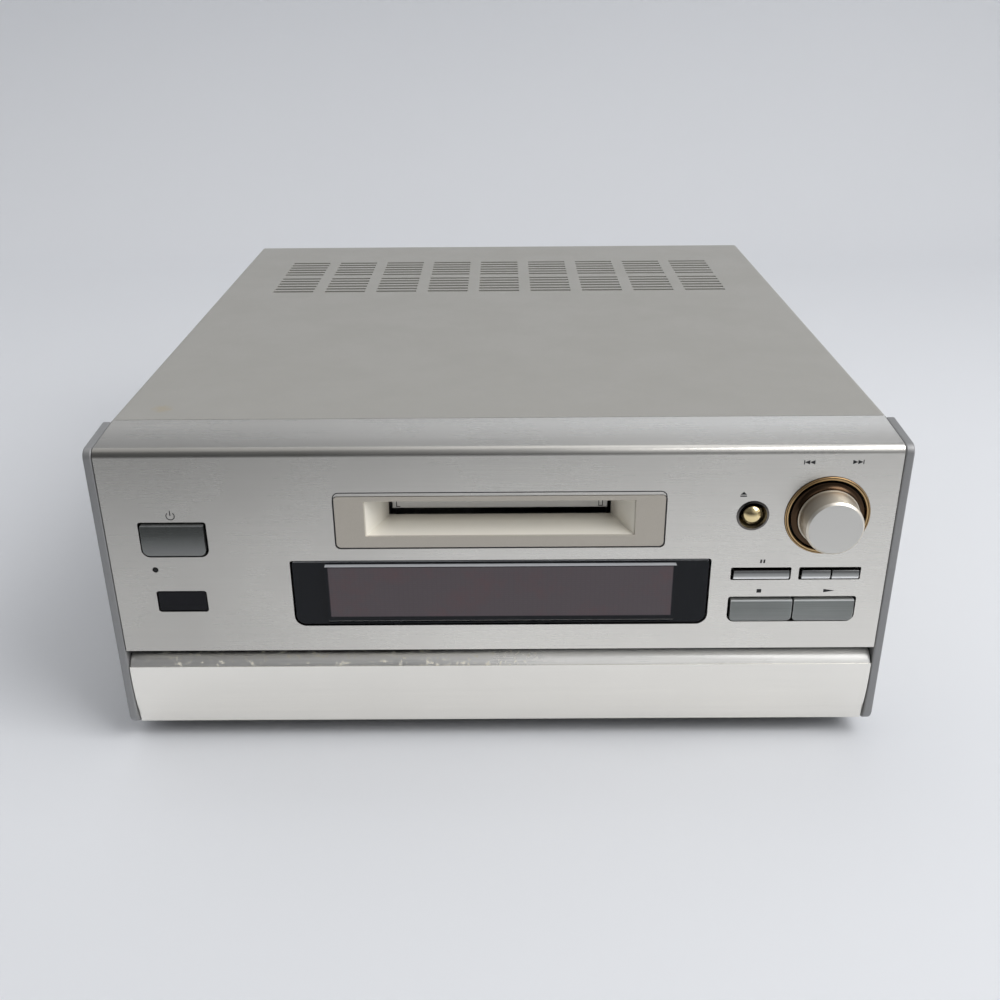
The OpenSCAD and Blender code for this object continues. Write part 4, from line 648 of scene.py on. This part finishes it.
def make_floor(settings):
    """Pale sheet that runs up into a backdrop, with painted shade that darkens it towards the camera."""
    made = Finish("stage_floor")
    tree = made.tree
    uneven = noise(tree, made.at, 3.0, 2.0)
    shade = mix(tree, uneven, toned(settings.floor, 0.99), toned(settings.floor, 1.01))
    # Painted shade: the floor darkens towards the camera
    nearer_painted_shade = span(tree, made.axes()[1], -0.26, -0.55, 0.0, 0.55)
    made.feed("Base Color", mix(tree, nearer_painted_shade, shade, (0.0, 0.0, 0.0)))
    made.feed("Roughness", 0.9)
    made.feed("Specular IOR Level", 0.2)
    work = bmesh.new()
    side, near, far, bend, wall = 4.0, -3.0, 0.62, 0.25, 2.6
    line = [(near, 0.0), (far, 0.0)]
    line += [(far + bend * math.sin(a), bend - bend * math.cos(a))
             for a in (math.radians(6 * k) for k in range(1, 16))]
    line += [(far + bend, wall)]
    rows = [[work.verts.new((x, y, z)) for x in (-side, side)] for y, z in line]
    for low, high in zip(rows, rows[1:]):
        work.faces.new([low[0], low[1], high[1], high[0]])
    mesh = mesh_of("stage_sheet", work)
    mesh.shade_smooth()
    mesh.materials.append(made.material)
    floor = placed("stage_sheet", mesh)


def make_surroundings(settings):
    """Light from all sides, stronger from the right and weaker from low in front."""
    world = bpy.data.worlds.new("surroundings")
    bpy.context.scene.world = world
    world.use_nodes = True
    room = world.node_tree
    light = room.nodes["Background"]
    light.inputs["Color"].default_value = rgba(settings.sky)
    way, bright_side = add(room, "ShaderNodeTexCoord").outputs["Generated"], (0.97, 0.15, 0.15)
    turn = vector(room, "DOT_PRODUCT", way, bright_side)["Value"]
    strength = span(room, turn, -0.20, 0.60, settings.sky_left, settings.sky_right)
    _, y, z = parts(room, way)
    low_front = times(room, span(room, y, -0.30, -0.80), span(room, z, 0.5, 0.1))
    strength = times(room, strength, calc(room, "SUBTRACT", 1.0, times(room, low_front, 0.6)))
    room.links.new(strength, light.inputs["Strength"])


def make_lamp(name, power, place, aim, size):
    """A square area lamp aimed at a point."""
    lamp = bpy.data.lights.new(name, "AREA")
    lamp.energy = power
    lamp.size = size
    made = placed(name, lamp)
    made.location = place
    made.rotation_euler = (Vector(aim) - Vector(place)).to_track_quat("-Z", "Y").to_euler()


def make_camera(settings):
    """The photograph's view: the camera's place in metres, and its tilt down, turn to the right and lean."""
    place = (0.0020, -0.4797, 0.2577)
    pitch, yaw, roll = (math.radians(a) for a in (25.345, -0.2507, -0.4495))
    lens = bpy.data.cameras.new("camera")
    lens.lens = settings.lens
    lens.sensor_width = 36.0
    lens.clip_start = 0.01
    look = Vector((math.sin(yaw) * math.cos(pitch), math.cos(yaw) * math.cos(pitch), -math.sin(pitch)))
    right = Vector((math.cos(yaw), -math.sin(yaw), 0.0))
    up = right.cross(look)
    right, up = (math.cos(roll) * right + math.sin(roll) * up, -math.sin(roll) * right + math.cos(roll) * up)
    eye = placed("camera", lens)
    eye.matrix_world = Matrix.Translation(place) @ Matrix((right, up, -look)).transposed().to_4x4()
    bpy.context.scene.camera = eye


def make_stage(settings):
    """Floor, surroundings, lamps and camera."""
    make_floor(settings)
    make_surroundings(settings)
    make_lamp("window_lamp", settings.key, place=(0.78, -0.55, 0.98), aim=(0.05, -0.05, 0), size=0.8)
    make_lamp("overhead_lamp", settings.fill, place=(-0.60, 0.30, 1.40), aim=(-0.1, -0.15, 0), size=2.0)
    make_camera(settings)
    bpy.context.scene.view_settings.view_transform = "Standard"


def make_cabinet(settings):
    """Cover, cheeks, rear panel, chassis and feet."""
    finish_cover(settings)
    finish("nickel_bright", (0.60, 0.59, 0.56), 0.18, metallic=1.0, tone=0.05, relief=0.02)
    finish("flap_grey", (0.045, 0.045, 0.047), 0.4, size=0.0003, tone=0.08, relief=0.08)
    finish("cheek_silver", settings.cheek, 0.42, metallic=0.45, size=0.0003, tone=0.05, relief=0.12,
           wear=(0.34, 0.34, 0.33), dust=0.05)
    finish("zinc_steel", settings.sheet, 0.38, metallic=0.9, size=0.0009, tone=0.10, relief=0.08, smudge=0.14)
    finish("black_steel", (0.030, 0.030, 0.032), 0.34, metallic=0.8, size=0.0003, tone=0.2, relief=0.1,
           wear=(0.20, 0.20, 0.19), wear_width=0.0002)
    finish("rubber_black", settings.rubber, 0.75, size=0.0006, tone=0.2, relief=0.4, dust=0.3)
    assign("cover_paint", "cheek_silver", "zinc_steel", "black_steel", "rubber_black")
    shown("top_cover", width=settings.edge)
    for node in ("left_cheek", "right_cheek"):
        shown(node, width=0.0006, segments=3)
    shown("rear_panel", width=0.0001, segments=1)


def fuller_edge(place):
    """The panel's rounded upper edge, with a larger radius than the sheet's own."""
    old, new, near = 0.003, 0.0042, 0.00006
    y, z = place.y - (FRONT + old), place.z - (TOP - old)
    if y < near / 3 and z > -near / 3 and abs(math.hypot(y, z) - old) < near:
        turn = math.atan2(z, -y)
        return Vector((place.x, FRONT + new - new * math.cos(turn), TOP - new + new * math.sin(turn)))
    return place


def make_rail(edge):
    """Rounded rail along the top of the door, whose face is an arc that looks up and forward."""
    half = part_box("drop_door")[1].x - 0.0001
    reach, front, foot = 0.0086, FRONT + 0.0003, edge - 0.0005
    turns = [math.radians(a) for a in range(62, 22, -4)]
    middle = (front + reach * math.sin(turns[0]), edge - reach * math.cos(turns[0]))
    line = [(middle[0] - reach * math.sin(a), middle[1] + reach * math.cos(a)) for a in turns]
    y, z = line[-1]
    # Over the rail's crest, down its back and along its foot
    line += [(y + 0.0004, z + 0.0001), (y + 0.0008, z - 0.0002), (y + 0.0010, z - 0.0007), (y + 0.0010, foot),
             (front, foot)]
    # Each end shrinks towards the rail's heart
    ends = [(-half, 0.84), (-half + 0.0002, 0.92), (-half + 0.0005, 0.97), (-half + 0.0010, 1.0)]
    ends += [(-x, size) for x, size in reversed(ends)]
    heart = FRONT + 0.0028
    work = bmesh.new()
    rings = [[work.verts.new((x, heart + (y - heart) * size, foot + (z - foot) * size)) for y, z in line]
             for x, size in ends]
    count = len(line)
    for first, second in zip(rings, rings[1:]):
        for k in range(count):
            work.faces.new([first[k], first[(k + 1) % count], second[(k + 1) % count], second[k]])
    work.faces.new(rings[0][::-1])
    work.faces.new(rings[-1])
    bmesh.ops.recalc_face_normals(work, faces=work.faces)
    mesh = mesh_of("door_rail", work)
    smooth_by_angle(mesh, 40.0)
    return piece("door_rail", mesh, "door", "panel_aluminium")


def make_front(settings):
    """Brushed panel, drop door with its rail, and moulded frame."""
    finish_panel(settings)
    finish("black_plastic", (0.016, 0.016, 0.017), 0.5, size=0.0005, tone=0.15, dust=0.15)
    finish("print_ink", settings.ink, 0.6, size=0.0002, tone=0.1, relief=0.05)
    assign("panel_aluminium", "black_plastic")
    shown("front_panel", width=settings.edge, reshape=fuller_edge)
    shown("drop_door", "door_aluminium", width=0.0005, segments=3)
    make_rail(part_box("drop_door")[1].z)


def finish_bezel(settings):
    """Moulding of the bezel, with painted light inside its funnel and a painted highlight along the funnel's
    edges.
    """
    made = finish("bezel_champagne", settings.bezel, 0.38, metallic=0.2, size=0.00035, tone=0.035,
                  relief=0.06, dust=0.06)
    tree = made.tree
    y, face = made.axes()[1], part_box("slot_bezel")[0].y
    # Painted light inside the funnel
    inner = times(tree, span(tree, y, face + 0.0003, face + 0.0008),
                  span(tree, y, face + 0.0130, face + 0.0080))
    made.blend(inner, base=(0.93, 0.895, 0.81), roughness=0.34)
    # Painted highlight along the funnel's edges
    wear_and_highlight_mask = group(tree, "wear", {"Vector": made.at, "Width": 0.0005, "Patch": 0.05})
    made.blend(times(tree, wear_and_highlight_mask["Mask"], inner), base=(0.90, 0.885, 0.83))


def narrower_bezel(place):
    """The bezel's rim drawn in, which leaves a thin dark gap round it."""
    low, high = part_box("slot_bezel")
    gap, rim, depth = 0.0002, 0.0009, 0.0032
    x, z = place.x, place.z
    if place.y < low.y + depth and min(x - low.x, high.x - x, z - low.z, high.z - z) < rim:
        x = max(low.x + gap, min(high.x - gap, x))
        z = max(low.z + gap, min(high.z - gap, z))
    return Vector((x, place.y, z))


def make_bezel_gap_shade():
    """Painted shade: a fine dark line round the bezel, with rounded corners, where its gap is in shade."""
    low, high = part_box("slot_bezel")
    x, drop = centre_of("slot_bezel")
    wide, tall = (high.x - low.x) / 2 / MM, (high.z - low.z) / 2 / MM
    turn, half = 2.0, 0.17
    gap_shade = [bar(x - wide + turn, x + wide - turn, drop + side * tall - half, drop + side * tall + half)
            for side in (-1, 1)]
    gap_shade += [bar(x + side * wide - half, x + side * wide + half, drop - tall + turn, drop + tall - turn)
             for side in (-1, 1)]
    gap_shade += [band(x + right * (wide - turn), drop - up * (tall - turn), turn + half, turn - half,
                  start, start + 90, 8)
             for right, up, start in ((1, 1, 0), (-1, 1, 90), (-1, -1, 180), (1, -1, 270))]
    flat_marks("bezel_gap_shade", gap_shade, 0.00003)


def make_shutter_marks():
    """Printed corner marks on the shutter: an angle on the left, and a hook on the right."""
    head, foot, line, lift = 24.2, 29.0, 0.3, 0.00046
    left, right = -35.9, 36.5
    marks = [bar(left, left + line, head, foot), bar(left + line, -34.5, foot - line, foot),
             bar(right - line, right, head, foot), bar(34.9, right - line, foot - line, foot),
             bar(34.9, 35.15, head, foot - line)]
    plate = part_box("slot_shutter")[0].y + lift
    flat_marks("shutter_marks", marks, FRONT - plate, body="shutter")


def make_slot(settings):
    """Bezel with its funnel, and the sprung shutter with its printed corner marks."""
    finish_bezel(settings)
    finish("shutter_silver", (0.74, 0.735, 0.71), 0.38, metallic=0.2, size=0.0003, tone=0.03, relief=0.05)
    assign("bezel_champagne")
    shown("slot_bezel", width=0.00035, segments=3, reshape=narrower_bezel)
    shown("slot_shutter", "shutter_silver", width=0.00015)
    make_bezel_gap_shade()
    make_shutter_marks()


def make_display(settings):
    """Tinted window with its raised block, the receiver's window and the unlit display."""
    finish_window(settings)
    finish("receiver_black", (0.0022, 0.0022, 0.0045), 0.10, size=0.004, tone=0.12, relief=0.004, smudge=0.03,
           specular=0.22)
    finish("display_glass", (0.05, 0.06, 0.06), 0.1, size=0.002, tone=0.1, relief=0.02)
    assign("window_black", "display_glass")
    shown("display_window", width=0.00025, joined=False)
    shown("ir_window", "receiver_black", width=0.00025)


def paint_light_by_height(name, node, bands):
    """Paints light and shade onto a finish by height: painted highlights and painted shade in bands of
    (start, end, shade, amount) in mm under the node's top.
    """
    made, top = FINISHES[name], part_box(node)[1].z
    height = made.axes()[2]
    for start, end, shade, amount in bands:
        made.blend(span(made.tree, height, top - start * MM, top - end * MM, 0.0, amount),
                   base=toned((1.0, 1.02, 0.99), shade))


def make_buttons(settings):
    """Push buttons of the front, and the lamp."""
    # The pale colour of the edges is a painted highlight
    finish("button_silver", settings.button, 0.30, metallic=0.8, pattern="brush", size=0.00022,
           tone=0.22, relief=0.25, wear=(0.55, 0.56, 0.54), wear_width=0.0005)
    # Painted shade: the power button is the same silver paint made darker, and its edges carry a painted
    # highlight
    finish("power_silver_shaded", toned(settings.button, 0.40), 0.26, metallic=0.75, pattern="brush", size=0.00022,
           relief=0.08, wear=(0.30, 0.31, 0.29))
    finish("bar_silver", settings.bar, 0.15, metallic=1.0, pattern="brush", size=0.0002, run=0.02, tone=0.05,
           relief=0.06)
    # Painted highlights near each top edge and painted shade below them
    paint_light_by_height("button_silver", "stop_button", ((2.6, 2.3, 0.75, 0.9), (6.7, 10.7, 0.30, 0.45)))
    paint_light_by_height("power_silver_shaded", "power_button", ((2.5, 2.2, 0.36, 0.8), (5.5, 14.5, 0.24, 1.0)))
    paint_light_by_height("bar_silver", "pause_button", ((2.07, 2.622, 0.27, 0.8), (3.795, 4.83, 1.0, 1.0)))
    finish("lamp_red", (0.0045, 0.0035, 0.0035), 0.2, size=0.001, tone=0.2, relief=0.02, specular=0.3)
    assign("button_silver", "bar_silver", "lamp_red")
    for node in ("stop_button", "play_button"):
        shown(node, width=0.0005, segments=3)
    shown("power_button", "power_silver_shaded", width=0.0006, segments=3)
    for node in ("pause_button", "display_button", "play_mode_button"):
        shown(node, width=0.0004, segments=3)
    shown("standby_led")


def finish_knob(settings, axis):
    """Turned aluminium of the jog knob: satin face, and painted shade in a dark bronze colour in the recess
    round its foot.
    """
    made = finish("knob_champagne", settings.knob, 0.35, metallic=1.0, pattern="turned", size=0.00022,
                  tone=0.03, relief=0.08, axis=axis)
    y, face, lip = made.axes()[1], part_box("jog_knob")[0].y, FRONT - 0.0020
    made.blend(span(made.tree, y, face + 0.00006, face + 0.00003), base=settings.cap, roughness=0.40)
    # Painted shade in the recess round the knob's foot
    made.blend(span(made.tree, y, lip - 0.00015, lip), base=(0.072, 0.044, 0.026), roughness=0.24)


def finish_ring(settings, axis):
    """Bronze plate of the knob's ring, with painted shade in its groove and round its rim."""
    made = finish("ring_bronze", settings.bronze, 0.22, metallic=1.0, pattern="turned", size=0.0003,
                  relief=0.04, smudge=0.08, axis=axis)
    tree = made.tree
    low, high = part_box("jog_ring")
    radius, blur = (high.x - low.x) / 2, 0.0001
    off = vector(tree, "SUBTRACT", made.at, axis)[0]
    away = vector(tree, "LENGTH", vector(tree, "MULTIPLY", off, (1, 0, 1))[0])["Value"]
    from_groove = calc(tree, "ABSOLUTE", calc(tree, "SUBTRACT", away, radius - 0.00055))
    # Painted shade in the groove and round the rim
    dark = calc(tree, "MAXIMUM", span(tree, from_groove, 0.00016, blur),
                span(tree, away, radius - 2 * blur, radius - blur))
    made.blend(dark, base=(0.085, 0.045, 0.02), roughness=0.4)


def make_knobs(settings):
    """Jog knob in its ring, and the gold eject button in its dark bezel."""
    low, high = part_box("jog_knob")
    axis = ((low.x + high.x) / 2, 0.0, (low.z + high.z) / 2)
    finish_knob(settings, axis)
    finish("gold_plate", settings.gold, 0.12, metallic=1.0, size=0.0006, tone=0.04, relief=0.01)
    finish_ring(settings, axis)
    finish("dark_chrome", (0.16, 0.15, 0.14), 0.14, metallic=1.0, size=0.0005, tone=0.08, relief=0.02)
    assign("knob_champagne", "gold_plate", "dark_chrome")
    shown("jog_knob", hard=24.0)
    shown("jog_ring", "ring_bronze", hard=24.0)
    shown("eject_button")
    shown("eject_bezel", hard=24.0)


def make_symbols():
    """Printed symbols of the front, as (x, drop) outlines in millimetres."""
    eject = [[(81.2, 18.85), (82.3, 17.75), (83.4, 18.85)], bar(81.2, 83.4, 19.15, 19.6)]
    pause = [[(x, 43.6), (x + 0.6, 43.6), (x + 0.5, 44.95), (x - 0.1, 44.95)] for x in (90.25, 91.35)]
    stop = [bar(90.0, 91.6, 55.3, 56.7)]
    play = [wedge(113.3, 117.2, 56.05, 0.65)]
    middle, drop, half, stroke = 111.15, 7.15, 0.75, 0.3
    inner, outer, end = 6.25, 7.95, 9.65
    skip = []
    for side in (-1, 1):
        skip += [wedge(middle + side * start, middle + side * tip, drop, half)
                 for start, tip in ((inner, outer), (outer, end))]
        skip += [bar(middle + side * end, middle + side * (end + stroke), drop - half, drop + half)]
    power = [band(-111.2, 25.6, 1.55, 1.25, 130, 410, 24), bar(-111.35, -111.05, 23.6, 25.5)]
    flat_marks("printed_symbols", eject + pause + stop + play + skip + power, 0.00004)


def make_level_marks(node, body):
    """White pointer on a level knob, and the dots of its scale on the panel behind it."""
    x, drop = centre_of(node)
    reach, dot, width = 8.2, 0.3, 0.33
    pointer = bar(x - width, x + width, drop - 6.3, drop - 2.1)
    flat_marks(node + "_pointer", [pointer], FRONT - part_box(node)[0].y - 0.0001, body=body, depth=0.0004,
               material="pointer_white")
    dots = [arc(x + reach * math.sin(a), drop - reach * math.cos(a), dot, 0, 330, 11)
            for a in (math.radians(30 * k) for k in range(-5, 6))]
    flat_marks(node + "_scale", dots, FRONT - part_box("control_panel")[0].y + 0.00003,
               material="pointer_white")


def make_door_controls(settings):
    """Small buttons, level knobs with their pointers, and timer switch behind the door."""
    finish("control_grey", (0.215, 0.215, 0.207), 0.5, metallic=0.2, tone=0.05, dust=0.1)
    finish("small_button_silver", settings.small, 0.38, metallic=0.3, size=0.0003, tone=0.04, relief=0.06)
    finish("record_red", settings.red, 0.4, size=0.0003, relief=0.06)
    finish("pointer_white", (0.72, 0.72, 0.69), 0.5, size=0.0003, tone=0.03, relief=0.05)
    assign("control_grey", "small_button_silver", "record_red")
    for node in ("record_button", "input_button", "edit_button", "yes_button"):
        shown(node, width=0.0004, segments=3)
    shown("timer_switch", width=0.0003)
    for node, body in (("record_level_knob", "record_level"), ("phones_level_knob", "phones_level")):
        shown(node)
        make_level_marks(node, body)


def make_screw_heads(spots):
    """Domed screws with a cross recess, from (place, direction) pairs, in one piece."""
    radius, height, dome, length = 3.0, 1.9, 4.1, 4.0
    cut_long, cut_deep, cut_wide, cut_height = 3.3, 3.0, 0.7, 2.2
    profile = [(r, math.sqrt(dome * dome - r * r) - dome + height)
               for r in (0.0, 0.7, 1.4, 2.0, 2.5, 2.85, radius)]
    profile += [(radius, 0.0), (radius / 2, 0.0), (radius / 2, -length), (0.0, -length)]
    head = lathe("screw_head", [(r * MM, h * MM) for r, h in profile], Vector((0, 0, 0)), "deck",
                 "black_steel", steps=32)
    work = bmesh.new()
    for size in ((cut_long, cut_deep, cut_wide), (cut_wide, cut_deep, cut_long)):
        made = bmesh.ops.create_cube(work, size=MM)
        bmesh.ops.scale(work, vec=size, verts=made["verts"])
        bmesh.ops.translate(work, vec=(0, cut_height * MM, 0), verts=made["verts"])
    cutter = placed("screw_cross", mesh_of("screw_cross", work))
    cut = head.modifiers.new("cross", "BOOLEAN")
    cut.object = cutter
    cut.solver = "EXACT"
    cut.use_self = True
    baked(head)
    work = bmesh.new()
    for place, way in spots:
        first = len(work.verts)
        work.from_mesh(head.data)
        work.verts.ensure_lookup_table()
        turn = Vector((0, 1, 0)).rotation_difference(Vector(way)).to_matrix()
        for vert in work.verts[first:]:
            vert.co = turn @ vert.co + Vector(place)
    mesh = mesh_of("cover_screws_finished", work)
    for spare in (head, cutter):
        bpy.data.objects.remove(spare)
    smooth_by_angle(mesh, 30.0)
    made = piece("cover_screws_finished", mesh, "deck", "black_steel")
    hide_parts("cover_screws")
    return made


def make_cover_screws():
    """Three screws along the cover's rear flange, and two low on each of its sides."""
    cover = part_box("top_cover")[1]
    rear_x, drop, side_y, side_z = 0.110, 0.007, (-0.0862, 0.0858), 0.0235
    spots = [((x, cover.y, TOP - drop), (0, 1, 0)) for x in (-rear_x, 0.0, rear_x)]
    spots += [((side * cover.x, y, side_z), (side, 0, 0)) for side in (-1, 1) for y in side_y]
    make_screw_heads(spots)


def finish_nickel():
    """Nickel of the line jacks, with red and white rings at their mouths and black bodies in the deck."""
    made = finish("nickel", (0.56, 0.55, 0.52), 0.2, metallic=1.0, relief=0.03)
    tree = made.tree
    x, y, z = made.axes()
    mouth, radius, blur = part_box("line_jacks")[1].y, 0.0034, 0.0001
    low, high = SOCKETS["line_in_right"], SOCKETS["line_out_left"]
    middle, half = (low + high) / 2, (high.x - low.x) / 2
    column, row = (calc(tree, "SUBTRACT", calc(tree, "ABSOLUTE", calc(tree, "SUBTRACT", at, heart)), half)
                   for at, heart in ((x, middle.x), (z, middle.z)))
    away = calc(tree, "SQRT", calc(tree, "ADD", times(tree, column, column), times(tree, row, row)))
    ring = times(tree, span(tree, y, mouth - 2 * blur, mouth - blur),
                 span(tree, away, radius + blur / 2, radius))
    right = span(tree, x, middle.x - blur, middle.x + blur)
    made.blend(ring, base=mix(tree, right, (0.42, 0.03, 0.025), (0.72, 0.71, 0.68)), roughness=0.45,
               metallic=0.0)
    body = span(tree, y, REAR - 0.0005, REAR - 0.0008)
    made.blend(body, base=(0.03, 0.03, 0.032), roughness=0.5, metallic=0.0)


def make_inlet_pins():
    """Bright round-ended sleeves over the mains inlet's two pins."""
    low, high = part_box("mains_inlet")
    middle, apart, depth = (low + high) / 2, 0.0043, 0.0140
    radius, length = 0.00123, 0.0125
    sleeve = [(0, 0), (radius, 0), (radius, length - 0.0008), (0.0009, length - 0.0001), (0, length)]
    for side, name in ((-1, "left"), (1, "right")):
        lathe("inlet_pin_" + name, sleeve, Vector((middle.x + side * apart, REAR - depth, middle.z)), "deck",
              "nickel_bright", steps=32)


def make_remote_rings():
    """Plated ring round the mouth of each remote jack."""
    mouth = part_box("remote_jacks")[1].y
    inner, outer, proud, seat = 0.00182, 0.0028, 0.00025, -0.0005
    ring = [(inner, seat), (inner, 0.0001), (0.0021, proud), (0.0026, proud), (outer, 0.0001), (outer, seat),
            (inner, seat)]
    for index, socket in enumerate(("remote_out", "remote_in")):
        place = SOCKETS[socket]
        lathe("remote_ring_%d" % (index + 1), ring, Vector((place.x, mouth, place.z)), "deck",
              "nickel_bright", steps=48)


def make_optical_flaps():
    """Grey dust flap in the mouth of each optical jack."""
    low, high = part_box("optical_jacks")
    apart, rise, size = 0.008, 0.0005, (0.0062, 0.0004, 0.0056)
    for index, side in enumerate((-1, 1)):
        place = ((low.x + high.x) / 2 + side * apart, high.y + 0.0001, (low.z + high.z) / 2 + rise)
        work = bmesh.new()
        made = bmesh.ops.create_cube(work, size=1.0)
        bmesh.ops.scale(work, vec=size, verts=made["verts"])
        bmesh.ops.translate(work, vec=place, verts=made["verts"])
        bmesh.ops.bevel(work, geom=work.edges[:], offset=0.00012, segments=2, affect="EDGES", profile=0.5)
        mesh = mesh_of("optical_flap_%d" % (index + 1), work)
        smooth_by_angle(mesh, 40.0)
        piece(mesh.name, mesh, "deck", "flap_grey")


def make_rear():
    """Sockets of the rear panel, the inlet's pins and the cover's screws."""
    finish_nickel()
    assign("nickel")
    for node in ("line_jacks", "remote_jacks", "mains_inlet", "phones_jack", "optical_jacks"):
        shown(node)
    make_inlet_pins()
    make_remote_rings()
    make_optical_flaps()
    make_cover_screws()


def make_inside():
    """Boards, transformer and the disc mechanism."""
    finish("bright_steel", (0.52, 0.52, 0.51), 0.26, metallic=1.0, pattern="brush", size=0.0002, relief=0.08)
    finish("board_green", (0.010, 0.075, 0.028), 0.35, size=0.0012, tone=0.3, relief=0.1, coat=0.3)
    finish("board_tan", (0.215, 0.135, 0.045), 0.55, size=0.0008, tone=0.15, relief=0.1)
    finish("core_iron", (0.10, 0.065, 0.032), 0.5, metallic=0.3, pattern="brush", size=0.0005, tone=0.25,
           relief=0.4)
    finish("gear_white", (0.74, 0.74, 0.66), 0.45, size=0.0005, tone=0.04, relief=0.05)
    finish("brass", (0.60, 0.42, 0.14), 0.25, metallic=1.0, relief=0.05)
    finish("sled_grey", (0.12, 0.125, 0.13), 0.5, metallic=0.5, size=0.0005, tone=0.1)
    assign("bright_steel", "board_green", "board_tan", "core_iron", "gear_white", "brass", "sled_grey")
    for node in ("jog_shaft", "jog_plunger", "loading_gear", "sled_gear", "motor_pinion", "loading_motor",
                 "spindle_motor", "turntable", "mech_dampers", "feet"):
        shown(node)


# ---------------------------------------------------------------- operators

class DECK_OT_stage(bpy.types.Operator):
    """Floor, backdrop, lamps and camera."""
    bl_idname = "deck.stage"
    bl_label = "Stage"

    def execute(self, context):
        make_stage(context.scene.deck_stage)
        return {"FINISHED"}


class DECK_OT_cabinet(bpy.types.Operator):
    """Cover, cheeks, rear panel, chassis and feet."""
    bl_idname = "deck.cabinet"
    bl_label = "Cabinet"

    def execute(self, context):
        make_cabinet(context.scene.deck_cabinet)
        return {"FINISHED"}


class DECK_OT_front(bpy.types.Operator):
    """Brushed panel, drop door and moulded frame."""
    bl_idname = "deck.front"
    bl_label = "Front"

    def execute(self, context):
        make_front(context.scene.deck_front)
        return {"FINISHED"}


class DECK_OT_slot(bpy.types.Operator):
    """Bezel with its funnel, and the shutter."""
    bl_idname = "deck.slot"
    bl_label = "Disc slot"

    def execute(self, context):
        make_slot(context.scene.deck_front)
        return {"FINISHED"}


class DECK_OT_display(bpy.types.Operator):
    """Tinted window and the unlit display."""
    bl_idname = "deck.display"
    bl_label = "Display"

    def execute(self, context):
        make_display(context.scene.deck_front)
        return {"FINISHED"}


class DECK_OT_buttons(bpy.types.Operator):
    """Push buttons of the front and the lamp."""
    bl_idname = "deck.buttons"
    bl_label = "Buttons"

    def execute(self, context):
        make_buttons(context.scene.deck_controls)
        return {"FINISHED"}


class DECK_OT_knobs(bpy.types.Operator):
    """Jog knob, its ring and the eject button."""
    bl_idname = "deck.knobs"
    bl_label = "Knobs"

    def execute(self, context):
        make_knobs(context.scene.deck_controls)
        return {"FINISHED"}


class DECK_OT_symbols(bpy.types.Operator):
    """Printed symbols of the front."""
    bl_idname = "deck.symbols"
    bl_label = "Symbols"

    def execute(self, context):
        make_symbols()
        return {"FINISHED"}


class DECK_OT_door_controls(bpy.types.Operator):
    """Small buttons, level knobs and timer switch."""
    bl_idname = "deck.door_controls"
    bl_label = "Behind the door"

    def execute(self, context):
        make_door_controls(context.scene.deck_controls)
        return {"FINISHED"}


class DECK_OT_rear(bpy.types.Operator):
    """Sockets of the rear panel, and the cover's screws."""
    bl_idname = "deck.rear"
    bl_label = "Rear sockets"

    def execute(self, context):
        make_rear()
        return {"FINISHED"}


class DECK_OT_inside(bpy.types.Operator):
    """Boards, transformer and mechanism."""
    bl_idname = "deck.inside"
    bl_label = "Inside"

    def execute(self, context):
        make_inside()
        return {"FINISHED"}


OPERATORS = (DECK_OT_stage, DECK_OT_cabinet, DECK_OT_front, DECK_OT_slot,
             DECK_OT_display, DECK_OT_buttons, DECK_OT_knobs, DECK_OT_symbols,
             DECK_OT_door_controls, DECK_OT_rear, DECK_OT_inside)


class DECK_PT_panel(bpy.types.Panel):
    """Lists the deck's makers in the sidebar."""
    bl_label = "Minidisc deck"
    bl_idname = "DECK_PT_panel"
    bl_space_type = "VIEW_3D"
    bl_region_type = "UI"
    bl_category = "Deck"

    def draw(self, context):
        for maker in OPERATORS:
            self.layout.operator(maker.bl_idname)


SETTINGS = {"deck_stage": StageSettings, "deck_cabinet": CabinetSettings, "deck_front": FrontSettings,
            "deck_controls": ControlSettings}
CLASSES = (*SETTINGS.values(), *OPERATORS, DECK_PT_panel)


def register():
    """Makes the settings, operators and panel known to Blender."""
    for made in CLASSES:
        bpy.utils.register_class(made)
    for name, holder in SETTINGS.items():
        setattr(bpy.types.Scene, name, bpy.props.PointerProperty(type=holder))


def unregister():
    """Takes them out again."""
    for name in SETTINGS:
        delattr(bpy.types.Scene, name)
    for made in reversed(CLASSES):
        bpy.utils.unregister_class(made)


def main():
    """Runs every maker in order."""
    register()
    GROUPS.update(brush=make_brush_group(), turned=make_turned_group(), grain=make_grain_group(),
                  smudge=make_smudge_group(), wear=make_wear_group(), dust=make_dust_group())
    for maker in OPERATORS:
        getattr(bpy.ops.deck, maker.bl_idname.split(".")[1])()


if __name__ == "__main__":
    main()
